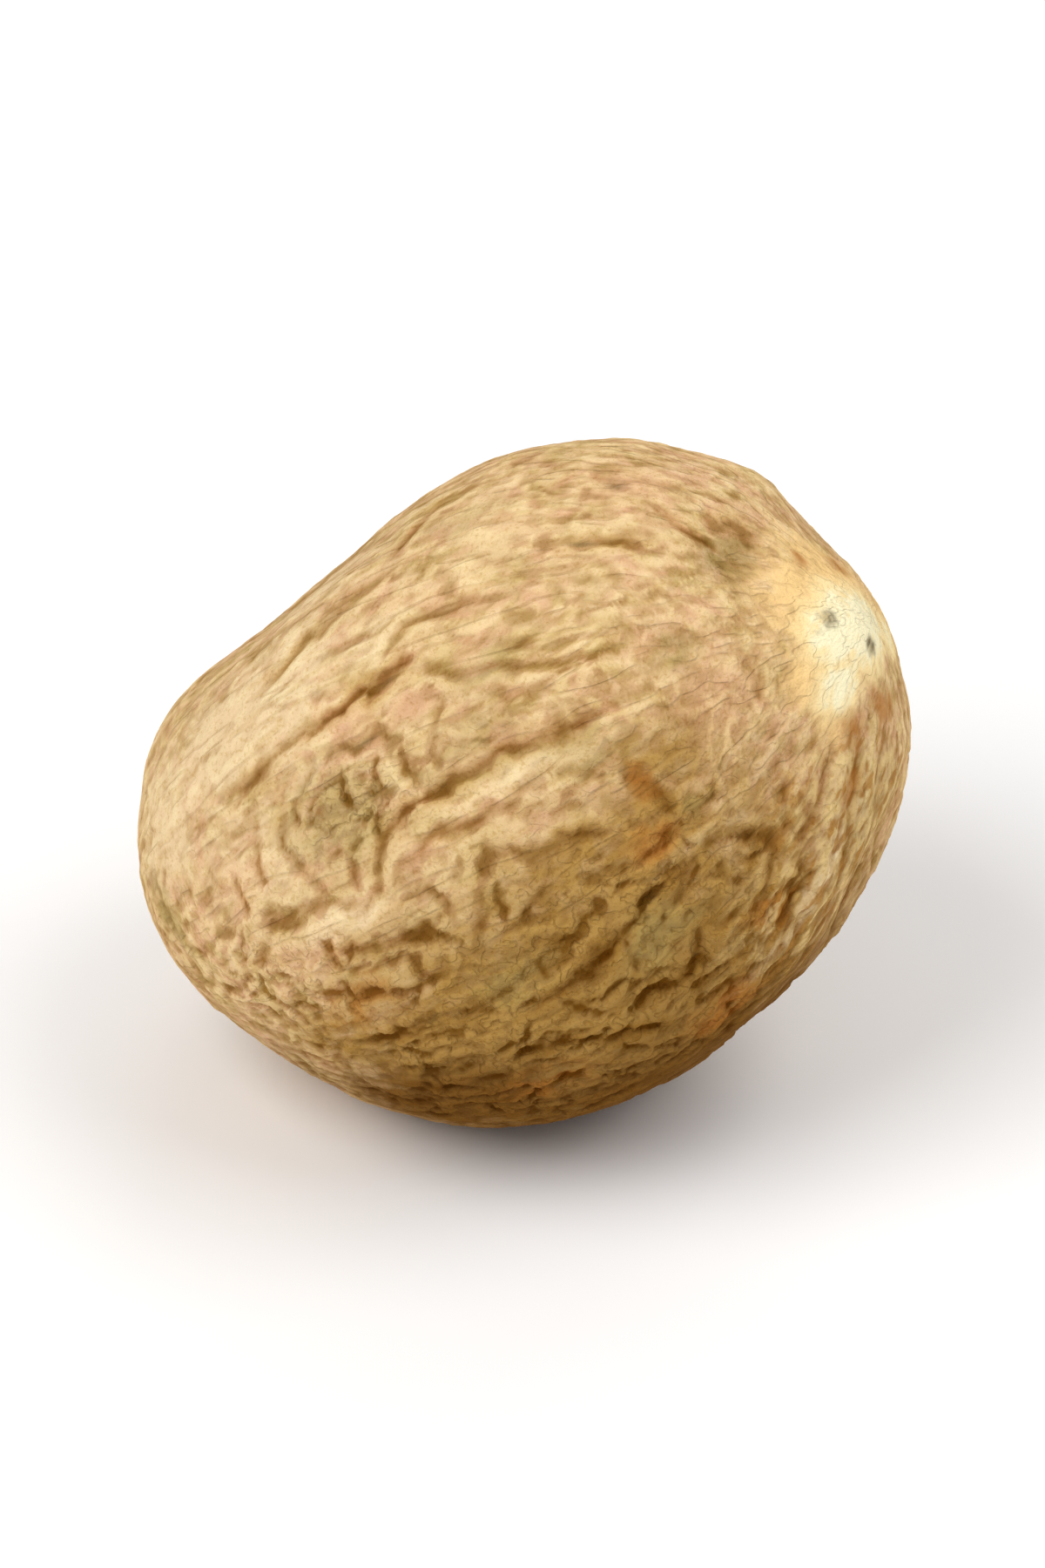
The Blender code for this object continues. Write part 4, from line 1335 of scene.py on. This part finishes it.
class SkinCoat(Coat):
    """The skin's material. Each of its methods lays something over the colour so far."""

    def __init__(self, look: SkinFinish, shared: SharedEffects) -> None:
        """Builds the material.

        Args:
            look: its colours and numbers.
            shared: the shader groups that it uses.
        """
        super().__init__("nutmeg skin")
        self.look, self.colour = look, look.tan.linear()
        self.mottle, self.streak, self.cloud = (
            self.parts(self.mark(mark)) for mark in (Mark.MOTTLE, Mark.STREAK, Mark.CLOUD))
        fibre = self.mark(Mark.FIBRE)
        place = self.vector("SCALE", self.object_place, PER_MM)
        grain = shared.grain.placed(self, {"Place": place, "Scale": look.grain_scale})
        along, about = (
            shared.creases.placed(self, {"Place": where, "Scale": scale, "Width": look.crease_width})["Line"]
            for where, scale in zip((fibre, place), look.crease_scales))
        rugged = self.ramp(self.mark(Mark.RUGGED), *look.rugged_creases)
        creased = self.math("MAXIMUM", self.product(along, look.along_strength), self.product(about, rugged))
        depth = self.total(self.mark(Mark.HOLLOW), self.product(self.mark(Mark.BASIN), look.basin_share),
                           self.product(self.uneven(grain["Height"]), look.grain_depth))
        worn = self.ramp(self.mottle[2], *look.worn)
        crest = self.product(self.ramp(depth, *look.worn_ridges), worn)
        self.lay_ground()
        self.lay(crest, look.dust)
        self.lay_tones()
        self.lay(self.product(crest, look.bright_share), look.bright, "SOFT_LIGHT")
        self.lay_furrows(depth, creased, grain["Dark"])
        self.lay_scar()
        self.feed(self.shader["Base Color"], self.colour)
        rough = self.math("ADD", look.roughness, self.product(grain["Height"], look.grain_roughness))
        self.feed(self.shader["Roughness"], rough)
        self.shader["Specular IOR Level"].default_value = look.gloss
        threads = self.noise(fibre, look.thread_scale, *look.thread_noise)
        height = self.total(grain["Height"], threads, self.product(creased, -1.0))
        bump = {"Strength": look.bump, "Distance": look.bump_depth, "Height": height}
        self.feed(self.shader["Normal"], self.use("ShaderNodeBump", bump, "Normal"))

    def mark(self, mark: Mark | Tone) -> Socket:
        """One of the skin's marks."""
        output = "Vector" if mark in VECTORS else "Fac"
        return self.use("ShaderNodeAttribute", {}, output, attribute_name=mark.value)

    def lay(self, share: Value, tint: Tint, kind: str = "MIX") -> None:
        """Lays a tint on."""
        self.colour = self.blend(share, self.colour, tint.linear(), kind)

    def lay_where(self, value: Value, low: float, high: float, strength: float, tint: Tint) -> None:
        """Lays a tint on where a value is high, and none where it is low."""
        self.lay(self.ramp(value, low, high, 0.0, strength), tint)

    def lay_ground(self) -> None:
        """Lays on the mottled, streaky ground of the skin.

        A layer is a noise, where it starts and where it is full, how strong it is there, and its tint.
        """
        look, cloud, mottle, streak = self.look, self.cloud, self.mottle, self.streak
        for layer in (
                (cloud[2], 0.42, 0.60, 0.5, look.deep), (cloud[0], 0.50, 0.64, 0.6, look.green),
                (cloud[1], 0.50, 0.37, 0.6, look.pink), (mottle[1], 0.50, 0.66, 0.60, look.green),
                (mottle[1], 0.50, 0.36, 0.55, look.pink), (mottle[0], 0.50, 0.64, 0.65, look.light),
                (mottle[0], 0.50, 0.36, 0.55, look.streak), (streak[0], 0.50, 0.34, 0.40, look.streak),
                (streak[0], 0.50, 0.66, 0.35, look.light)):
            self.lay_where(*layer)

    def lay_tones(self) -> None:
        """Lays on the skin's tones, with ragged edges, two of them painted shade towards the bottom, and the
        colours of its rays.
        """
        look, uneven = self.look, self.uneven(self.mottle[2])
        for tone, tint, strength, raggedness in look.tones:
            ragged = self.math("ADD", 1.0, self.product(uneven, raggedness))
            self.lay_where(self.product(self.mark(tone), ragged), *look.tone_edge, strength, tint)
        rays = self.ramp(self.mark(Mark.RAYS), *look.rays)
        for end, tint in zip(look.ray_ends, (look.ray, look.ochre)):
            self.lay(self.product(rays, self.ramp(self.streak[0], MIDDLE, end)), tint)

    def lay_furrows(self, depth: Socket, creased: Socket, dark: Socket) -> None:
        """Tints the creases and the furrows brown, and paints shade into the hollows.

        Args:
            depth: how far the skin lies under its surroundings.
            creased: a mask of the thin creases.
            dark: a mask of the dark grain.
        """
        look, kept = self.look, self.ramp(self.streak[1], *self.look.patchy)
        rugged = self.ramp(self.mark(Mark.RUGGED), *look.rugged_hollows)
        for share, tint in (
                # darker brown round each furrow
                (self.ramp(self.mark(Mark.SOIL), *look.browned), look.soil),
                (self.product(creased, kept, look.crease_soil), look.soil),
                (self.product(dark, look.grain_soil), look.soil),
                # painted shade: the deeper a hollow lies, the darker it is made
                (self.product(self.ramp(depth, 0.0, look.full_hollow), kept, rugged), look.hollow),
                (self.product(self.ramp(self.mark(Mark.FURROW), *look.deep_furrow), kept), look.darkest)):
            self.lay(share, tint, "MULTIPLY")

    def lay_scar(self) -> None:
        """Lays on the scar and its halo, the brown of the far pit and the dark spots.

        A layer is a mark, where it starts and where it is full, how strong it is there, and its tint.
        """
        look, noises = self.look, (self.mottle[2], self.streak[2])
        swings = (self.product(self.uneven(noise), share) for noise, share in zip(noises, look.raggedness))
        ragged = self.total(1.0, *swings)
        for mark, *layer in (
                (Mark.HALO, 0.15, 0.90, 0.90, look.halo), (Mark.SCAR, 0.05, 0.55, 1.0, look.rim),
                (Mark.SCAR, 0.40, 0.90, 1.0, look.scar), (Mark.PIT, 0.25, 0.90, 0.85, look.pit),
                (Tone.RUST, 0.20, 0.90, 0.75, look.rust), (Tone.SPOT, 0.20, 0.80, 0.92, look.spot)):
            self.lay_where(self.product(self.mark(mark), ragged), *layer)


@dataclass(frozen=True)
class Nutmeg:
    """The whole seed: its form, its furrows and its skin."""

    form: SeedForm = SeedForm()
    fine: SkinRelief = SkinRelief()
    spot_stray: float = 0.4  # the share of the furrows' straying by which spots and the scar stray
    calm_spread: float = 30.0  # degrees round the rest spot in which the relief fades
    calm_power: float = 4
    fibre_radius: float = 9.0  # millimetres round the seed that one turn's worth of fibres takes
    fibre_stretch: float = 0.16
    full_furrow: float = 0.20 * MM  # the depth that counts as a full furrow
    full_soil: float = 0.45 * MM

    def skin_mesh(self, finish: bpy.types.Material) -> bpy.types.Mesh:
        """Builds the skin: form, furrows, fine relief and every mark that its finish reads.

        Args:
            finish: the skin's material.

        Returns:
            The finished mesh, where the seed lies.
        """
        shaper = self.form.shaper()
        mesh = shaper.run(self.form.even_ball(), "seed form")
        points, outward = read_points(mesh), read_points(mesh, Mark.OUTWARD)
        ball, warp = read_points(mesh, Mark.BALL), read_points(mesh, Mark.WARP) * MM
        warp -= outward * np.sum(warp * outward, axis=1)[:, None]
        relief = Relief.flat(points + warp, turns_of(ball), read_points(mesh, Mark.CLOUD))
        FurrowWork(self.form).carve(shaper, relief)
        world = self.form.turned(points)
        low = world[:, 2].argmin()
        calm = 1.0 - np.exp(-((angle_to(ball, ball[low]) / self.calm_spread) ** self.calm_power))
        cut = self.form.turned(points + outward * (relief.height() * calm)[:, None])
        rested = self.form.rested(cut, world[low, 2] + self.form.spot_depth)
        mesh.vertices.foreach_set("co", rested.astype(np.float32).ravel())
        marks = {
            Mark.OUTWARD: self.form.turned(outward), Mark.FIBRE: self.fibres(ball), Mark.CALM: calm,
            Mark.FURROW: relief.groove * calm / self.full_furrow,
            Mark.SOIL: relief.soil * calm / self.full_soil,
            Mark.PIT: FAR_PIT.rise(ball) / FAR_PIT.height, **self.patches(ball, warp / self.form.half),
        }
        for mark, values in marks.items():
            write_points(mesh, mark, values)
        mesh.update()
        return ReliefTree(self.fine, self.form.half, finish).run(mesh, "skin")

    def fibres(self, ball: np.ndarray) -> np.ndarray:
        """Places for noise that is drawn out along the seed.

        Args:
            ball: each point's place on the unit ball.

        Returns:
            The places, in millimetres.
        """
        along, turns = np.radians(stations_of(ball)), np.radians(turns_of(ball))
        ring = self.fibre_radius * np.sqrt(np.sin(along))
        drawn = along * self.form.length / 2 * PER_MM * self.fibre_stretch
        return np.stack((np.cos(turns) * ring, np.sin(turns) * ring, drawn), axis=1)

    def patches(self, ball: np.ndarray, warp: np.ndarray) -> dict[Mark | Tone, np.ndarray]:
        """How much of every kind of patch lies on each point.

        Args:
            ball: each point's place on the unit ball.
            warp: how far the patches stray there.

        Returns:
            The numbers by mark.
        """
        strayed, little = (unit(ball + warp * share) for share in (1.0, self.spot_stray))
        marks = {tone: covered(patches, strayed) for tone, patches in TONES.items()}
        return marks | {
            Tone.SPOT: covered(TONES[Tone.SPOT], little), Mark.SCAR: covered(SCAR_PATCHES, little),
            Mark.RUGGED: np.clip(RUGGED_LEAST + covered(RUGGED_PATCHES, strayed), 0.0, 1.0),
            Mark.RAYS: covered(RAY_PATCHES, strayed), Mark.HALO: covered(HALO_PATCHES, strayed),
        }

    @staticmethod
    def set_down(mesh: bpy.types.Mesh) -> None:
        """Moves the skin so that it stands where the solid it replaces does.

        Args:
            mesh: the skin's mesh.
        """
        low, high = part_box("nutmeg")
        points = read_points(mesh)
        middle = (points.min(axis=0) + points.max(axis=0)) / 2
        shift = Vector(((low.x + high.x) / 2 - middle[0], (low.y + high.y) / 2 - middle[1],
                        low.z - points[:, 2].min()))
        mesh.transform(Matrix.Translation(shift))

    def build(self, shared: SharedEffects) -> bpy.types.Object:
        """Builds and dresses the skin and puts it on the frame.

        Args:
            shared: the shader groups that its finish uses.

        Returns:
            The skin.
        """
        mesh = self.skin_mesh(SkinFinish().material(shared))
        skin = add_object("skin", mesh)
        self.set_down(mesh)
        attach(skin, "root")
        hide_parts("nutmeg")
        log.info("%s: %d faces", skin.name, len(mesh.polygons))
        return skin


def bearing(azimuth: float, elevation: float) -> Vector:
    """The way towards something seen at an azimuth and an elevation, where azimuth 0 looks along +Y."""
    across, up = math.radians(azimuth), math.radians(elevation)
    return Vector((math.sin(across) * math.cos(up), -math.cos(across) * math.cos(up), math.sin(up)))


@dataclass(frozen=True)
class SoftLight:
    """One large soft light, aimed at the seed."""

    name: str
    azimuth: float
    elevation: float
    size: float
    power: float
    distance: float = 0.6

    def build(self, target: Vector) -> None:
        """Hangs the light and aims it.

        Args:
            target: where it shines.
        """
        lamp = bpy.data.lights.new(self.name, "AREA")
        lamp.size, lamp.energy = self.size, self.power
        light = add_object(self.name, lamp)
        way = bearing(self.azimuth, self.elevation)
        light.location = target + way * self.distance
        light.rotation_euler = (-way).to_track_quat("-Z", "Y").to_euler()


@dataclass(frozen=True)
class Studio:
    """The pale floor, the soft light and the camera."""

    azimuth: float = 7.5
    elevation: float = 37.0
    distance: float = 0.40
    fill: float = 0.74  # share of the frame's width that the seed takes
    frame_size: tuple[int, int] = (1200, 1800)
    sensor: float = 36.0
    near_limit: float = 0.01
    floor_side: float = 3.0
    floor_roughness: float = 0.6
    floor_grain: float = 6.0
    floor_tint: Tint = Tint(252, 251, 249)
    sky_tint: Tint = Tint(250, 250, 252)
    sky: float = 0.36
    lights: tuple[SoftLight, ...] = (
        SoftLight("key", -48.0, 50.0, 0.40, 2.4),
        SoftLight("side", 85.0, 55.0, 0.40, 1.5),
        SoftLight("back", 165.0, 45.0, 0.40, 0.5),
    )

    def floor(self, shared: SharedEffects) -> None:
        """Lays the floor.

        Args:
            shared: the shader groups that its finish uses.
        """
        coat = Coat("pale floor")
        grain = shared.grain.placed(coat, {"Place": coat.object_place, "Scale": self.floor_grain})
        share = coat.product(grain["Height"], 0.5)
        colour = coat.blend(share, self.floor_tint.linear(), self.sky_tint.linear())
        coat.feed(coat.shader["Base Color"], colour)
        coat.shader["Roughness"].default_value = self.floor_roughness
        mesh = bpy.data.meshes.new("floor")
        half = self.floor_side / 2
        mesh.from_pydata([(-half, -half, 0), (half, -half, 0), (half, half, 0), (-half, half, 0)], [],
                         [(0, 1, 2, 3)])
        mesh.materials.append(coat.material)
        floor = add_object("floor", mesh)

    def camera(self, target: Vector, points: np.ndarray) -> None:
        """Sets the camera at the photograph's viewing angle, with the seed as wide as asked.

        Args:
            target: the middle of the seed.
            points: the seed's points.
        """
        way = bearing(self.azimuth, self.elevation)
        view = (-way).to_track_quat("-Z", "Y").to_matrix()
        centre = target.copy()
        for axis in (view.col[1], view.col[0]):
            seen = points @ np.array(axis)
            centre += axis * ((seen.min() + seen.max()) / 2 - target.dot(axis))
        lens = bpy.data.cameras.new("camera")
        width, height = self.frame_size
        lens.sensor_width = self.sensor
        lens.lens = self.distance * self.sensor * (width / height) / ((seen.max() - seen.min()) / self.fill)
        lens.clip_start = self.near_limit
        camera = add_object("camera", lens)
        camera.location = centre + way * self.distance
        camera.rotation_euler = view.to_euler()
        bpy.context.scene.camera = camera

    def build(self, shared: SharedEffects, skin: bpy.types.Object) -> None:
        """Builds the studio round the seed.

        Args:
            shared: the shader groups that the floor's finish uses.
            skin: the seed's skin.
        """
        self.floor(shared)
        points = read_points(skin.data)
        target = Vector((points.min(axis=0) + points.max(axis=0)) / 2)
        self.camera(target, points)
        for light in self.lights:
            light.build(target)
        world = bpy.data.worlds.new("soft sky")
        world.use_nodes = True
        sky = world.node_tree.nodes["Background"].inputs
        sky["Color"].default_value = self.sky_tint.linear()
        sky["Strength"].default_value = self.sky
        bpy.context.scene.world = world
        bpy.context.scene.view_settings.view_transform = "Standard"
        log.info("studio: camera at azimuth %.1f and elevation %.1f", self.azimuth, self.elevation)


def main() -> None:
    """Builds the nutmeg and its studio."""
    logging.basicConfig(level=logging.INFO, format="%(name)s: %(message)s")
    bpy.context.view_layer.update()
    shared = SharedEffects()
    skin = Nutmeg().build(shared)
    Studio().build(shared, skin)


if __name__ == "__main__":
    main()
